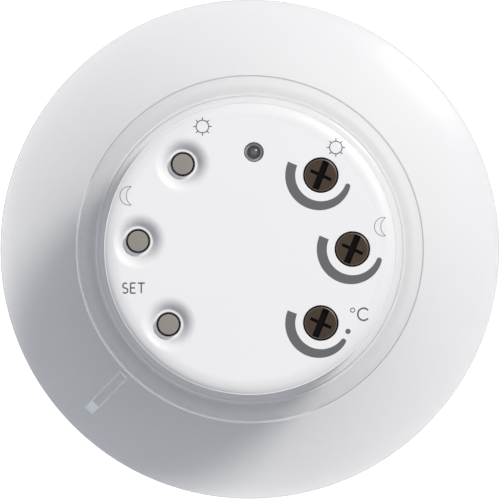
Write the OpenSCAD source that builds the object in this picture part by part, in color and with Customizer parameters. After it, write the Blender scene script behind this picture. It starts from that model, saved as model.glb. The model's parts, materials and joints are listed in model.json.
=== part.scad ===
// Window-mounted sun sensor: a round housing held in a soft suction cup.
// Z = 0 is the window pane, and +Z points away from the pane into the room.

/* [Suction cup] */
// Diameter of the rim that seals on the pane
rim_d = 75; // [70:0.5:90]
// Thickness of the skirt at its rim
rim_t = 0.9; // [0.6:0.1:1.4]
// Width of the flat land under the rim
land_w = 1.2; // [0.6:0.1:2]
// Thickness of the skirt, measured upright, where it meets the collar
skirt_t = 3; // [2:0.1:3.6]
// How far the collar stands out from the cap
collar_w = 4.2; // [3.4:0.1:5]
// Height from the foot of the collar to its lip
collar_h = 6; // [5:0.1:6.6]
// Height of the lip above the cap's lower edge
lip_h = 5; // [4:0.1:5.6]
// Width of the sloping lip round the cap
lip_w = 1.2; // [0.9:0.1:1.6]
// Fall of the sloping lip
lip_drop = 1.4; // [0.8:0.1:2]
// Width of the ledge at the foot of the collar
foot_ledge_w = 0.35; // [0.2:0.05:0.6]
// Width of the ledge under the lip
lip_ledge_w = 0.15; // [0.1:0.05:0.3]
// Depth of the bead that locks the cup to the base
bead_d = 0.45; // [0.3:0.05:0.6]
// Height of that bead
bead_h = 1.8; // [1.2:0.1:2.4]

/* [Release tab] */
// Width of the release tab on the skirt
tab_w = 1.6; // [1.2:0.1:2.4]
// Length of the release tab along the skirt
tab_l = 7.6; // [6:0.1:8.6]
// Length of the solid grip at the tab's outer end
tab_grip_l = 1.5; // [1:0.1:2.2]
// Height of the tab's frame above the skirt
tab_frame_h = 0.25; // [0.15:0.05:0.4]
// Height of the grip above the skirt
tab_grip_h = 0.55; // [0.45:0.05:0.9]
// Width of the tab's frame
tab_frame_w = 0.28; // [0.2:0.02:0.4]
// Direction of the tab, counted from +X
tab_angle = 225; // [200:1:250]

/* [Housing] */
// Diameter of the rear cap
cap_d = 43.8; // [43:0.1:50]
// Thickness of the cap's top
cap_t = 1.4; // [1.2:0.1:2]
// Thickness of the cap's wall
cap_wall = 1.4; // [1.1:0.1:1.6]
// Width of the cap's rounded edge
cap_edge_w = 2.1; // [1.2:0.1:2.4]
// Slope that the rounded edge reaches at its outer end
cap_edge_slope = 52; // [40:1:70]
// Width of the narrow ledge outside the rounded edge
cap_edge_ledge_w = 0.15; // [0.1:0.05:0.3]
// Height of the cap's wall above the lower edge
cap_h = 9.5; // [9:0.1:11]
// Gap between the front of the housing and the pane
front_gap = 5; // [4.6:0.1:6]
// Height from the front face to the circuit board
bay_h = 8.8; // [8.6:0.1:10]
// Thickness of the base's wall
base_wall = 1.3; // [1.1:0.1:1.6]
// Thickness of the clear front window
window_t = 1.2; // [0.9:0.1:1.6]
// Width of the ledge that the window is bonded to
window_ledge_w = 0.9; // [0.6:0.1:1.2]
// Thickness of that ledge
window_ledge_t = 0.8; // [0.6:0.1:1.2]

/* [Controls] */
// Diameter of the push buttons
button_d = 3.3; // [2.8:0.1:3.6]
// Travel of the push buttons
button_travel = 0.25; // [0.15:0.05:0.35]
// How far the buttons stand above the floor of their dishes
button_proud = 0.8; // [0.5:0.05:1]
// Diameter of the dish round each button
dish_d = 8.6; // [7:0.1:9.4]
// Diameter of the flat floor of each dish
dish_floor_d = 4.1; // [3.9:0.1:4.8]
// Depth of each dish
dish_depth = 1.2; // [0.8:0.05:1.4]
// Inset of the sun button from the board's edge
button_sun_inset = 4.05; // [3.6:0.05:4.6]
// Inset of the moon button from the board's edge
button_moon_inset = 3.48; // [3.4:0.02:4.2]
// Inset of the programming button from the board's edge
button_prog_inset = 3.68; // [3.4:0.02:4.4]
// Direction of the sun button, counted from +X
button_sun_angle = 128.3; // [124:0.1:132]
// Direction of the moon button
button_moon_angle = 175.9; // [171:0.1:180]
// Direction of the programming button
button_prog_angle = 222.8; // [219:0.1:227]
// Diameter of the trimmers' rotors
rotor_d = 5.1; // [4.6:0.1:5.6]
// Length of the screwdriver slot in a rotor
slot_l = 4.5; // [3.6:0.1:4.8]
// Width of the screwdriver slot
slot_w = 1; // [0.7:0.05:1.2]
// Depth of the screwdriver slot
slot_depth = 0.8; // [0.5:0.05:0.9]
// Length of the cross slot
cross_l = 3.4; // [2.6:0.1:4]
// Direction of the slots at rest, counted from +X
slot_angle = 68; // [0:1:179]
// Inset of the trimmers from the board's edge
trimmer_inset = 4.92; // [4.4:0.02:5.4]
// Angle between neighbouring trimmers
trimmer_pitch = 46.2; // [42:0.1:50]
// Diameter of the status lamp's lens
lamp_d = 2.8; // [2.6:0.1:3.2]
// Diameter of the dome on the lens
lamp_dome_d = 2; // [1.4:0.1:2.4]
// Inset of the status lamp from the board's edge
lamp_inset = 5.75; // [5:0.05:6.4]
// Direction of the status lamp, counted from +X
lamp_angle = 87.7; // [84:0.1:92]

/* [Electronics] */
// Thickness of the circuit board
board_t = 1.2; // [0.8:0.1:1.6]
// Length of the solar cell
cell_l = 28; // [22:0.5:28.5]
// Width of the solar cell
cell_w = 19; // [15:0.5:20.5]
// Thickness of the solar cell
cell_t = 1.1; // [0.9:0.05:1.15]
// Thickness of the carrier plate
carrier_t = 1.2; // [1:0.1:1.4]
// Diameter of the storage cell
coin_d = 20; // [16:0.5:20.5]
// Thickness of the storage cell
coin_t = 3.2; // [2:0.1:3.3]
// Side of a switch body
switch_w = 6; // [5:0.1:6.2]
// Height of a switch body with its cover
switch_h = 3.4; // [3.2:0.1:3.4]
// Diameter of a trimmer's body
trimmer_d = 6.4; // [6.2:0.1:7]
// Height of a trimmer's body
trimmer_h = 3.4; // [3:0.1:3.5]
// Diameter of the light sensor
sensor_d = 3; // [2.4:0.1:3.2]
// Gap between the storage cell's ring and the tube round the light sensor
sensor_gap = 0.2; // [0.1:0.05:0.8]
// Diameter of the temperature sensor's bead
bead_sensor_d = 2.2; // [1.6:0.1:2.4]
// Length of the radio module
radio_l = 18; // [14:0.5:18.5]
// Width of the radio module
radio_w = 12; // [9:0.5:12.5]
// Gap between the aerial's wire and the base's wall
aerial_gap = 0.45; // [0.3:0.05:1.2]
// Diameter of the aerial's wire
aerial_d = 0.8; // [0.6:0.1:1]
// Arc that the aerial covers
aerial_arc = 267; // [200:1:290]

/* [Hidden] */
$fn = 96;
// Overrun of every cut past the face it opens
cut = 0.5;
// Clearance between pieces that are pushed together
fit = 0.1;
// Radial clearance of a shaft that turns or slides
running = 0.05;

// Heights above the pane
board_z = front_gap + bay_h;
board_top = board_z + board_t;
window_top = front_gap + window_t;
ledge_top = window_top + window_ledge_t;
carrier_top = ledge_top + carrier_t;
coin_top = carrier_top + coin_t;
// How far the cap's wall reaches below the board
cap_overlap = 2.3;
cap_rim_z = board_z - cap_overlap;
cap_top = cap_rim_z + cap_h;
ceiling_z = cap_top - cap_t;
lip_z = cap_rim_z + lip_h;
shoulder_z = lip_z - lip_drop;
foot_z = lip_z - collar_h;
dish_floor_z = cap_top - dish_depth;
button_top = dish_floor_z + button_proud;

// Radii
rim_r = rim_d / 2;
cap_r = cap_d / 2;
cap_bore_r = cap_r - cap_wall;
base_r = cap_bore_r - fit;
base_in_r = base_r - base_wall;
board_r = cap_bore_r - fit * 2;
cup_bore_r = base_r + running;
cup_counterbore_r = cap_r + fit;
lip_r = cap_r + lip_w;
foot_r = cap_r + collar_w;
window_r = base_in_r - fit;
carrier_r = base_in_r - fit * 2;

// Shape of the cup's skirt
skirt_steps = 14;
skirt_power = 1.25;
hollow_power = 1.2;
hollow_inset = 1.6;
cup_floor_lift = 1;
cup_floor_z = front_gap + cup_floor_lift;
cup_foot_w = 0.6;
shoulder_bulge = 0.18;
groove_z = front_gap + (cap_rim_z - front_gap - bead_h) / 2;
bead_clear = 0.1;

// Base, cap and seal
snap_h = 0.5;
snap_d = 0.12;
snap_lift = 0.25;
seal_d = 0.8;
seal_groove_h = 0.95;
seal_groove_z = cap_rim_z + snap_lift + snap_h + fit * 2;
board_clamp_w = 0.3;
boss_wall = 0.5;
button_gap = 0.16;
rotor_gap = 0.08;
lamp_gap = 0.06;
rotor_sunk = 0.12;
lamp_sunk = 0.1;

// Places of the controls
function polar(r, a) = [r * cos(a), r * sin(a), 0];
sun_at = polar(board_r - button_sun_inset, button_sun_angle);
moon_at = polar(board_r - button_moon_inset, button_moon_angle);
prog_at = polar(board_r - button_prog_inset, button_prog_angle);
trim_sun_at = polar(board_r - trimmer_inset, trimmer_pitch);
trim_moon_at = polar(board_r - trimmer_inset, 0);
trim_temp_at = polar(board_r - trimmer_inset, -trimmer_pitch);
lamp_at = polar(board_r - lamp_inset, lamp_angle);
buttons_at = [sun_at, moon_at, prog_at];
button_angles = [button_sun_angle, button_moon_angle, button_prog_angle];
trimmers_at = [trim_sun_at, trim_moon_at, trim_temp_at];

// Switches
switch_cover_t = 0.3;
switch_floor_t = 0.6;
switch_cavity_d = 4.6;
plunger_flange_d = 4.2;
plunger_flange_h = 0.7;
plunger_nub_d = 1.2;
dome_d = 4.2;
dome_t = 0.15;
dome_rise = button_travel * 3;
dome_gap = 0.03;
switch_top = board_top + switch_h;
switch_floor_z = board_top + switch_floor_t;
plunger_flange_top = switch_top - switch_cover_t - running;
terminal_w = 0.7;
terminal_l = 0.9;
terminal_t = 0.25;
terminal_inset = 0.8;

// Trimmers
trimmer_top = board_top + trimmer_h;
trimmer_pin_d = 1.4;
trimmer_pin_h = 1.4;
trimmer_flat = 0.5;
track_in_d = 2.8;
track_out_d = 5.4;
track_depth = 0.3;
rotor_flange_d = 6;
rotor_flange_h = 0.7;
rotor_base_z = trimmer_top + running;
rotor_top = cap_top - rotor_sunk;
cross_w = 0.55;
cross_tip_w = 0.16;
cross_depth_share = 0.75;

// Lamp
lamp_flange_d = 3.8;
lamp_flange_h = 1;
lamp_lift = 0.3;
lamp_dome_h = 0.42;
lead_d = 0.5;
lead_pitch = 1.27;
lead_hole_d = 0.9;
lead_below = 0.8;

// Storage cell and its tabs
coin_ring_w = 1;
coin_ring_h = 2;
tab_t = 0.3;
strip_w = 4;
coin_edge_r = 0.4;

// Carrier, sensors and leads
post_d = 2.4;
post_place = 15.2;
post_angles = [35, 145, 215, 325];
tube_wall = 0.7;
tube_flange_w = 0.35;
tube_bore_d = sensor_d + fit * 2;
tube_d = tube_bore_d + tube_wall * 2;
tube_flange_d = tube_d + tube_flange_w * 2;
sensor_flange_w = 0.3;
sensor_flange_h = 0.6;
sensor_body_l = 4.6;
sensor_tip_z = board_z - sensor_flange_h - sensor_body_l;
coin_ring_r = coin_d / 2 + fit + coin_ring_w;
// The tabs rise just outside that ring
tab_reach = coin_ring_r + fit;
// The sensors look past the storage cell's ring and the solar cell at the pane
sensor_place = max(coin_ring_r + tube_d / 2, cell_w / 2 + tube_flange_d / 2) + sensor_gap;
light_sensor_angle = 270;
light_sensor_at = polar(sensor_place, light_sensor_angle);
bead_angle = 112;
bead_at = polar(sensor_place, bead_angle);
bead_lead_spread = 0.5;
solar_lead_d = 0.8;
solar_lead_inset = 1.6;
solar_lead_x = cell_l / 2 - solar_lead_inset;
solar_lead_y = 6.5;

// Parts on the board
radio_board_t = 0.8;
radio_x = -1;
radio_y = -1;
shield_inset = 1;
shield_h = 2.2;
shield_wall = 0.25;
chip_w = 7;
chip_h = 0.9;
chip_x = -1;
chip_y = -2;
crystal_l = 5;
crystal_w = 3.2;
crystal_h = 1.1;
crystal_x = -1;
crystal_y = 9;
capacitor_l = 6;
capacitor_w = 3.2;
capacitor_h = 2.6;
capacitor_gap = 0.6;
capacitor_x = -0.25;
capacitor_y = -11.2;
aerial_start = 100;
aerial_lift = 1.4;
aerial_foot_share = 1.4;
aerial_r = base_in_r - aerial_gap - aerial_d / 2;

clear_soft = [0.80, 0.83, 0.87, 0.8];
white_plastic = [0.93, 0.93, 0.94];
board_green = [0.10, 0.36, 0.22];
dark_plastic = [0.16, 0.16, 0.17];
steel = [0.75, 0.76, 0.78];

// A run of points from a to b that bows outwards by h
function bowed(a, b, h, n) =
    let (d = b - a, side = [d[1], -d[0]] / norm(d))
    [for (i = [0 : n]) a + d * i / n + side * h * sin(180 * i / n)];

// Height of the skirt's outer face at a share u of the way out to the rim
function skirt_z(u) = rim_t + (foot_z - rim_t) * pow(1 - u, skirt_power);
// Height of the hollow under the skirt, skirt_t below its outer face at the collar's foot
function hollow_z(v) = (foot_z - skirt_t) * pow((1 - v) / (1 - collar_share), hollow_power);
skirt_in_r = foot_r + foot_ledge_w / 2;
hollow_r = foot_r - hollow_inset;
land_r = rim_r - land_w;
// Share of the hollow's width that lies inside the collar's foot
collar_share = (skirt_in_r - hollow_r) / (land_r - hollow_r);

cup_outer_points = concat(
    [[land_r, 0], [rim_r, 0]],
    [for (i = [skirt_steps : -1 : 0])
        let (u = i / skirt_steps) [skirt_in_r + (rim_r - skirt_in_r) * u, skirt_z(u)]],
    bowed([foot_r - foot_ledge_w / 2, foot_z], [lip_r + lip_ledge_w, shoulder_z], shoulder_bulge, 4),
    bowed([lip_r, shoulder_z], [cup_counterbore_r, lip_z], shoulder_bulge, 4)
);
cup_bore_points = [
    [cup_counterbore_r, cap_rim_z - fit],
    [cup_bore_r, cap_rim_z - fit],
    [cup_bore_r, groove_z + bead_h - bead_clear],
    [cup_bore_r - bead_d, groove_z + bead_h - bead_clear - bead_d],
    [cup_bore_r - bead_d, groove_z + bead_clear + bead_d],
    [cup_bore_r, groove_z + bead_clear],
    [cup_bore_r, cup_floor_z]
];
cup_hollow_points = concat(
    [[cup_bore_r + cup_foot_w, cup_floor_z]],
    [for (i = [0 : skirt_steps - 1])
        let (v = i / skirt_steps) [hollow_r + (land_r - hollow_r) * v, hollow_z(v)]]
);

// The solid between the skirt's face and a height h above it, round the release tab
module skirt_band(below, h) {
    rotate_extrude()
        polygon(concat(
            [for (i = [0 : skirt_steps])
                let (u = i / skirt_steps) [skirt_in_r + (rim_r - skirt_in_r) * u, skirt_z(u) + h]],
            [for (i = [skirt_steps : -1 : 0])
                let (u = i / skirt_steps) [skirt_in_r + (rim_r - skirt_in_r) * u, skirt_z(u) - below]]
        ));
}

module tab_block(start, length, width, overrun = 0) {
    rotate(tab_angle)
        translate([start, -width / 2, -overrun])
            cube([length, width, lip_z + overrun * 2]);
}

// Frame with a hollow middle, and a solid grip at its outer end
module release_tab() {
    tab_start = skirt_in_r + tab_frame_w * 2;
    intersection() {
        skirt_band(rim_t / 2, tab_frame_h);
        difference() {
            tab_block(tab_start, tab_l, tab_w);
            tab_block(
                tab_start + tab_frame_w,
                tab_l - tab_grip_l - tab_frame_w,
                tab_w - tab_frame_w * 2,
                cut
            );
        }
    }
    intersection() {
        skirt_band(rim_t / 2, tab_grip_h);
        tab_block(tab_start + tab_l - tab_grip_l, tab_grip_l, tab_w);
    }
}

module suction_cup() {
    color(clear_soft) {
        rotate_extrude($fn = 180)
            polygon(concat(cup_outer_points, cup_bore_points, cup_hollow_points));
        release_tab();
    }
}

// Smooth dish that is cut into the cap's top round a button
dish_steps = 12;
dish_bias = 0.5;
module dish() {
    floor_r = dish_floor_d / 2;
    run = dish_d / 2 - floor_r;
    translate([0, 0, dish_floor_z])
        rotate_extrude()
            polygon(concat(
                [[0, dish_depth + cut], [0, 0]],
                [for (i = [0 : dish_steps])
                    let (u = i / dish_steps, s = pow(sin(90 * pow(u, dish_bias)), 2))
                    [floor_r + run * u, dish_depth * s]],
                [[dish_d / 2, dish_depth + cut]]
            ));
}

cap_edge_steps = 12;
cap_edge_r = (cap_edge_w - cap_edge_ledge_w) / sin(cap_edge_slope);
cap_points = concat(
    [[0, cap_top]],
    [for (i = [0 : cap_edge_steps])
        let (a = cap_edge_slope * i / cap_edge_steps)
        [cap_r - cap_edge_w + cap_edge_r * sin(a), cap_top - cap_edge_r * (1 - cos(a))]],
    [
        [cap_r, cap_top - cap_edge_r * (1 - cos(cap_edge_slope))],
        [cap_r, cap_rim_z],
        [cap_bore_r, cap_rim_z],
        [cap_bore_r, cap_rim_z + snap_lift],
        [cap_bore_r + snap_d, cap_rim_z + snap_lift + fit],
        [cap_bore_r + snap_d, cap_rim_z + snap_lift + snap_h],
        [cap_bore_r, cap_rim_z + snap_lift + snap_h + fit],
        [cap_bore_r, board_top + running],
        [cap_bore_r - board_clamp_w, board_top + running],
        [cap_bore_r - board_clamp_w, ceiling_z],
        [0, ceiling_z]
    ]
);

module rear_cap() {
    boss_z = dish_floor_z - cap_t / 2 - fit;
    color(white_plastic)
        difference() {
            union() {
                rotate_extrude($fn = 180)
                    polygon(cap_points);
                intersection() {
                    for (p = buttons_at)
                        translate([p[0], p[1], boss_z])
                            cylinder(h = ceiling_z - boss_z + cap_t / 2, d = dish_d + boss_wall);
                    cylinder(h = cap_top, r = cap_bore_r);
                }
            }
            for (p = buttons_at)
                translate(p) {
                    dish();
                    cylinder(h = cap_top + cut, d = button_d + button_gap * 2);
                }
            for (p = trimmers_at)
                translate(p)
                    cylinder(h = cap_top + cut, d = rotor_d + rotor_gap * 2);
            translate(lamp_at)
                cylinder(h = cap_top + cut, d = lamp_d + lamp_gap * 2);
        }
}

base_points = [
    [base_r, front_gap],
    [base_r, groove_z],
    [base_r - bead_d, groove_z + bead_d],
    [base_r - bead_d, groove_z + bead_h - bead_d],
    [base_r, groove_z + bead_h],
    [base_r, cap_rim_z + snap_lift + fit],
    [base_r + snap_d, cap_rim_z + snap_lift + fit * 2],
    [base_r + snap_d, cap_rim_z + snap_lift + snap_h - fit],
    [base_r, cap_rim_z + snap_lift + snap_h],
    [base_r, seal_groove_z],
    [base_r - seal_d, seal_groove_z],
    [base_r - seal_d, seal_groove_z + seal_groove_h],
    [base_r, seal_groove_z + seal_groove_h],
    [base_r, board_z],
    [base_in_r, board_z],
    [base_in_r, ledge_top],
    [base_in_r - window_ledge_w, ledge_top],
    [base_in_r - window_ledge_w, window_top],
    [base_in_r, window_top],
    [base_in_r, front_gap]
];

module base_shell() {
    color(white_plastic)
        rotate_extrude($fn = 180)
            polygon(base_points);
}

module front_window() {
    color([0.85, 0.9, 0.93, 0.35])
        translate([0, 0, front_gap])
            cylinder(h = window_t, r = window_r, $fn = 180);
}

module seal_ring() {
    color(dark_plastic)
        translate([0, 0, seal_groove_z + seal_groove_h / 2])
            rotate_extrude($fn = 180)
                translate([base_r - seal_d / 2 + running / 2, 0])
                    circle(d = seal_d, $fn = 24);
}

module circuit_board() {
    color(board_green)
        difference() {
            translate([0, 0, board_z])
                cylinder(h = board_t, r = board_r, $fn = 180);
            for (x = [-lead_pitch, lead_pitch])
                translate([lamp_at[0] + x, lamp_at[1], board_z - cut])
                    cylinder(h = board_t + cut * 2, d = lead_hole_d, $fn = 24);
        }
}

// Plate behind the solar cell, with the storage cell's ring and the posts under the board
module cell_carrier() {
    ring_r = coin_d / 2 + fit;
    color(white_plastic)
        difference() {
            union() {
                translate([0, 0, ledge_top])
                    cylinder(h = carrier_t, r = carrier_r);
                translate([0, 0, carrier_top - cut])
                    cylinder(h = coin_ring_h + cut, r = coin_ring_r);
                for (a = post_angles)
                    translate(polar(post_place, a) + [0, 0, carrier_top - cut])
                        cylinder(h = board_z - carrier_top + cut, d = post_d);
            }
            translate([0, 0, carrier_top])
                cylinder(h = coin_t, r = ring_r);
            translate([-cell_l / 2 - fit, -cell_w / 2 - fit, ledge_top - cut])
                cube([cell_l + fit * 2, cell_w + fit * 2, window_top + cell_t + cut - ledge_top]);
            translate([0, -strip_w / 2 - fit, carrier_top - tab_t])
                cube([tab_reach + tab_t + fit, strip_w + fit * 2, coin_ring_h + tab_t + cut]);
            translate([-coin_ring_r - cut, -strip_w / 2 - fit, carrier_top])
                cube([coin_ring_w + cut * 2, strip_w + fit * 2, coin_ring_h + cut]);
            translate(light_sensor_at + [0, 0, ledge_top - cut])
                cylinder(h = carrier_t + cut * 2, d = tube_d + fit);
            translate(bead_at + [0, 0, ledge_top - cut])
                cylinder(h = carrier_t + cut * 2, d = bead_sensor_d + fit * 4);
            for (x = [-solar_lead_x, solar_lead_x])
                translate([x, solar_lead_y, ledge_top - cut])
                    cylinder(h = carrier_t + coin_ring_h + cut * 2, d = solar_lead_d + fit * 4, $fn = 24);
        }
}

module solar_cell() {
    color([0.13, 0.07, 0.11])
        translate([-cell_l / 2, -cell_w / 2, window_top])
            cube([cell_l, cell_w, cell_t]);
}

module solar_leads() {
    lead_z = window_top + cell_t;
    color("firebrick")
        for (x = [-solar_lead_x, solar_lead_x])
            translate([x, solar_lead_y, lead_z])
                cylinder(h = board_z - lead_z, d = solar_lead_d, $fn = 24);
}

module storage_cell() {
    r = coin_d / 2;
    color(steel)
        translate([0, 0, carrier_top])
            rotate_extrude()
                polygon([
                    [0, 0],
                    [r - coin_edge_r * 2, 0],
                    [r - coin_edge_r, coin_edge_r],
                    [r, coin_edge_r * 2],
                    [r, coin_t - coin_edge_r],
                    [r - coin_edge_r, coin_t],
                    [0, coin_t]
                ]);
}

module cell_tab_upper() {
    color(steel) {
        translate([-tab_reach - tab_t, -strip_w / 2, coin_top])
            cube([tab_reach + tab_t, strip_w, tab_t]);
        translate([-tab_reach - tab_t, -strip_w / 2, coin_top])
            cube([tab_t, strip_w, board_z - coin_top]);
    }
}

module cell_tab_lower() {
    start_x = coin_d / 4;
    color(steel) {
        translate([start_x, -strip_w / 2, carrier_top - tab_t])
            cube([tab_reach + tab_t - start_x, strip_w, tab_t]);
        translate([tab_reach, -strip_w / 2, carrier_top - tab_t])
            cube([tab_t, strip_w, board_z - carrier_top + tab_t]);
    }
}

module light_sensor() {
    color([0.12, 0.12, 0.14])
        translate(light_sensor_at) {
            translate([0, 0, sensor_tip_z])
                cylinder(h = sensor_body_l + sensor_flange_h, d = sensor_d, $fn = 48);
            translate([0, 0, board_z - sensor_flange_h])
                cylinder(h = sensor_flange_h, d = sensor_d + sensor_flange_w * 2, $fn = 48);
        }
}

// Dark tube on the window, with a foot that the carrier traps
module sensor_tube() {
    tube_top = board_z - sensor_flange_h - fit;
    color(dark_plastic)
        translate(light_sensor_at)
            difference() {
                union() {
                    translate([0, 0, window_top])
                        cylinder(h = tube_top - window_top, d = tube_d, $fn = 48);
                    translate([0, 0, window_top])
                        cylinder(h = window_ledge_t - running, d = tube_flange_d, $fn = 48);
                }
                translate([0, 0, window_top - cut])
                    cylinder(h = tube_top - window_top + cut * 2, d = tube_bore_d, $fn = 48);
            }
}

module temperature_sensor() {
    bead_z = window_top + bead_sensor_d / 2 + running;
    color([0.25, 0.4, 0.3])
        translate(bead_at) {
            translate([0, 0, bead_z])
                sphere(d = bead_sensor_d, $fn = 48);
            for (x = [-bead_lead_spread, bead_lead_spread])
                translate([x, 0, bead_z])
                    cylinder(h = board_z - bead_z, d = lead_d, $fn = 24);
        }
}

// Body of a push switch with a round well for its snap dome
module switch_body(i) {
    body_h = switch_h - switch_cover_t;
    color(dark_plastic)
        translate(buttons_at[i])
            difference() {
                rotate(button_angles[i])
                    translate([-switch_w / 2, -switch_w / 2, board_top])
                        cube([switch_w, switch_w, body_h]);
                translate([0, 0, switch_floor_z])
                    cylinder(h = body_h, d = switch_cavity_d);
            }
}

module switch_covers() {
    color(steel)
        for (i = [0 : len(buttons_at) - 1])
            translate(buttons_at[i])
                difference() {
                    rotate(button_angles[i])
                        translate([-switch_w / 2, -switch_w / 2, switch_top - switch_cover_t])
                            cube([switch_w, switch_w, switch_cover_t]);
                    translate([0, 0, switch_top - switch_cover_t - cut])
                        cylinder(h = switch_cover_t + cut * 2, d = button_d + running * 2);
                }
}

// Four flat leads to each switch, soldered on the board
module switch_terminals() {
    terminal_x = switch_w / 2 - terminal_inset;
    color(steel)
        for (i = [0 : len(buttons_at) - 1])
            translate(buttons_at[i])
                rotate(button_angles[i])
                    for (x = [-terminal_x, terminal_x], y = [-switch_w / 2 - terminal_l, switch_w / 2])
                        translate([x - terminal_w / 2, y, board_top])
                            cube([terminal_w, terminal_l, terminal_t]);
}

// Thin snap dome that returns a button
module dome(i) {
    steps = 8;
    dome_r = dome_d / 2;
    color(steel)
        translate(buttons_at[i] + [0, 0, switch_floor_z])
            rotate_extrude()
                polygon(concat(
                    [for (k = [0 : steps]) [dome_r * k / steps, dome_t + dome_rise * pow(cos(90 * k / steps), 2)]],
                    [for (k = [steps : -1 : 0]) [dome_r * k / steps, dome_rise * pow(cos(90 * k / steps), 2)]]
                ));
}

module button(i) {
    nub_z = switch_floor_z + dome_t + dome_rise + dome_gap;
    flange_z = plunger_flange_top - plunger_flange_h;
    color([0.58, 0.56, 0.53])
        translate(buttons_at[i]) {
            translate([0, 0, flange_z])
                cylinder(h = button_top - flange_z, d = button_d);
            translate([0, 0, flange_z])
                cylinder(h = plunger_flange_h, d = plunger_flange_d);
            translate([0, 0, nub_z])
                cylinder(h = button_top - nub_z, d = plunger_nub_d);
        }
}

// Body of a trimmer, with its pin and the groove of its resistive track
module trimmer_body(i) {
    color([0.3, 0.27, 0.24])
        translate(trimmers_at[i]) {
            difference() {
                translate([0, 0, board_top])
                    cylinder(h = trimmer_h, d = trimmer_d);
                translate([0, 0, trimmer_top - track_depth])
                    difference() {
                        cylinder(h = track_depth + cut, d = track_out_d);
                        translate([0, 0, -cut])
                            cylinder(h = track_depth + cut * 3, d = track_in_d);
                    }
                translate([-trimmer_d / 2 - cut, trimmer_d / 2 - trimmer_flat, board_top - cut])
                    cube([trimmer_d + cut * 2, trimmer_d, trimmer_h + cut * 2]);
            }
            translate([0, 0, trimmer_top - cut])
                cylinder(h = trimmer_pin_h + cut, d = trimmer_pin_d);
        }
}

// Rotor with a screwdriver slot and a pointed cross slot
module rotor(i) {
    bore_h = trimmer_pin_h + running;
    cross_depth = slot_depth * cross_depth_share;
    color([0.31, 0.26, 0.22])
        translate(trimmers_at[i])
            difference() {
                union() {
                    translate([0, 0, rotor_base_z])
                        cylinder(h = rotor_top - rotor_base_z, d = rotor_d);
                    translate([0, 0, rotor_base_z])
                        cylinder(h = rotor_flange_h, d = rotor_flange_d);
                }
                translate([0, 0, rotor_base_z - cut])
                    cylinder(h = bore_h + cut, d = trimmer_pin_d + running * 2);
                rotate(slot_angle)
                    translate([-slot_l / 2, -slot_w / 2, rotor_top - slot_depth])
                        cube([slot_l, slot_w, slot_depth + cut]);
                rotate(slot_angle + 90)
                    translate([0, 0, rotor_top - cross_depth])
                        linear_extrude(cross_depth + cut)
                            polygon([
                                [-cross_l / 2, -cross_tip_w],
                                [0, -cross_w / 2],
                                [cross_l / 2, -cross_w / 2],
                                [cross_l / 2, cross_tip_w],
                                [0, cross_w / 2],
                                [-cross_l / 2, cross_w / 2]
                            ]);
            }
}

module status_lamp() {
    shoulder = cap_top - lamp_sunk - lamp_dome_h;
    flange_z = board_top + lamp_lift;
    // Radius of the sphere whose cap has the dome's width and height
    dome_r = (pow(lamp_dome_d / 2, 2) + pow(lamp_dome_h, 2)) / (2 * lamp_dome_h);
    color([0.35, 0.35, 0.36])
        translate(lamp_at) {
            translate([0, 0, flange_z])
                cylinder(h = shoulder - flange_z, d = lamp_d);
            translate([0, 0, flange_z])
                cylinder(h = lamp_flange_h, d = lamp_flange_d);
            intersection() {
                translate([0, 0, shoulder + lamp_dome_h - dome_r])
                    sphere(r = dome_r);
                translate([0, 0, shoulder - cut])
                    cylinder(h = lamp_dome_h + cut * 2, d = lamp_dome_d);
            }
        }
}

module lamp_leads() {
    lead_z = board_z - lead_below;
    color(steel)
        for (x = [-lead_pitch, lead_pitch])
            translate([lamp_at[0] + x, lamp_at[1], lead_z])
                cylinder(h = board_top + lamp_lift - lead_z, d = lead_d, $fn = 24);
}

module radio_board() {
    color(board_green)
        translate([radio_x - radio_l / 2, radio_y - radio_w / 2, board_top])
            cube([radio_l, radio_w, radio_board_t]);
}

module radio_shield() {
    can_l = radio_l - shield_inset * 2;
    can_w = radio_w - shield_inset * 2;
    color(steel)
        translate([radio_x, radio_y, board_top + radio_board_t])
            difference() {
                translate([-can_l / 2, -can_w / 2, 0])
                    cube([can_l, can_w, shield_h]);
                translate([shield_wall - can_l / 2, shield_wall - can_w / 2, -cut])
                    cube([can_l - shield_wall * 2, can_w - shield_wall * 2, shield_h - shield_wall + cut]);
            }
}

// Wire loop under the board, open over a gap, standing on a foot at each end
module aerial() {
    loop_z = board_z - aerial_lift;
    foot_d = aerial_d * aerial_foot_share;
    color([0.8, 0.6, 0.3]) {
        rotate(aerial_start)
            translate([0, 0, loop_z])
                rotate_extrude(angle = aerial_arc, $fn = 180)
                    translate([aerial_r, 0])
                        circle(d = aerial_d, $fn = 24);
        for (a = [aerial_start, aerial_start + aerial_arc])
            translate(polar(aerial_r, a) + [0, 0, loop_z - foot_d / 2])
                cylinder(h = board_z - loop_z + foot_d / 2, d = foot_d, $fn = 24);
    }
}

module controller_chip() {
    color(dark_plastic)
        translate([chip_x - chip_w / 2, chip_y - chip_w / 2, board_z - chip_h])
            cube([chip_w, chip_w, chip_h]);
}

module crystal() {
    color(steel)
        translate([crystal_x - crystal_l / 2, crystal_y - crystal_w / 2, board_top])
            cube([crystal_l, crystal_w, crystal_h]);
}

module buffer_capacitors() {
    step = capacitor_l + capacitor_gap;
    color([0.85, 0.65, 0.15])
        for (side = [-1, 1])
            translate([capacitor_x + side * step / 2 - capacitor_l / 2, capacitor_y - capacitor_w / 2, board_top])
                cube([capacitor_l, capacitor_w, capacitor_h]);
}

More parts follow.
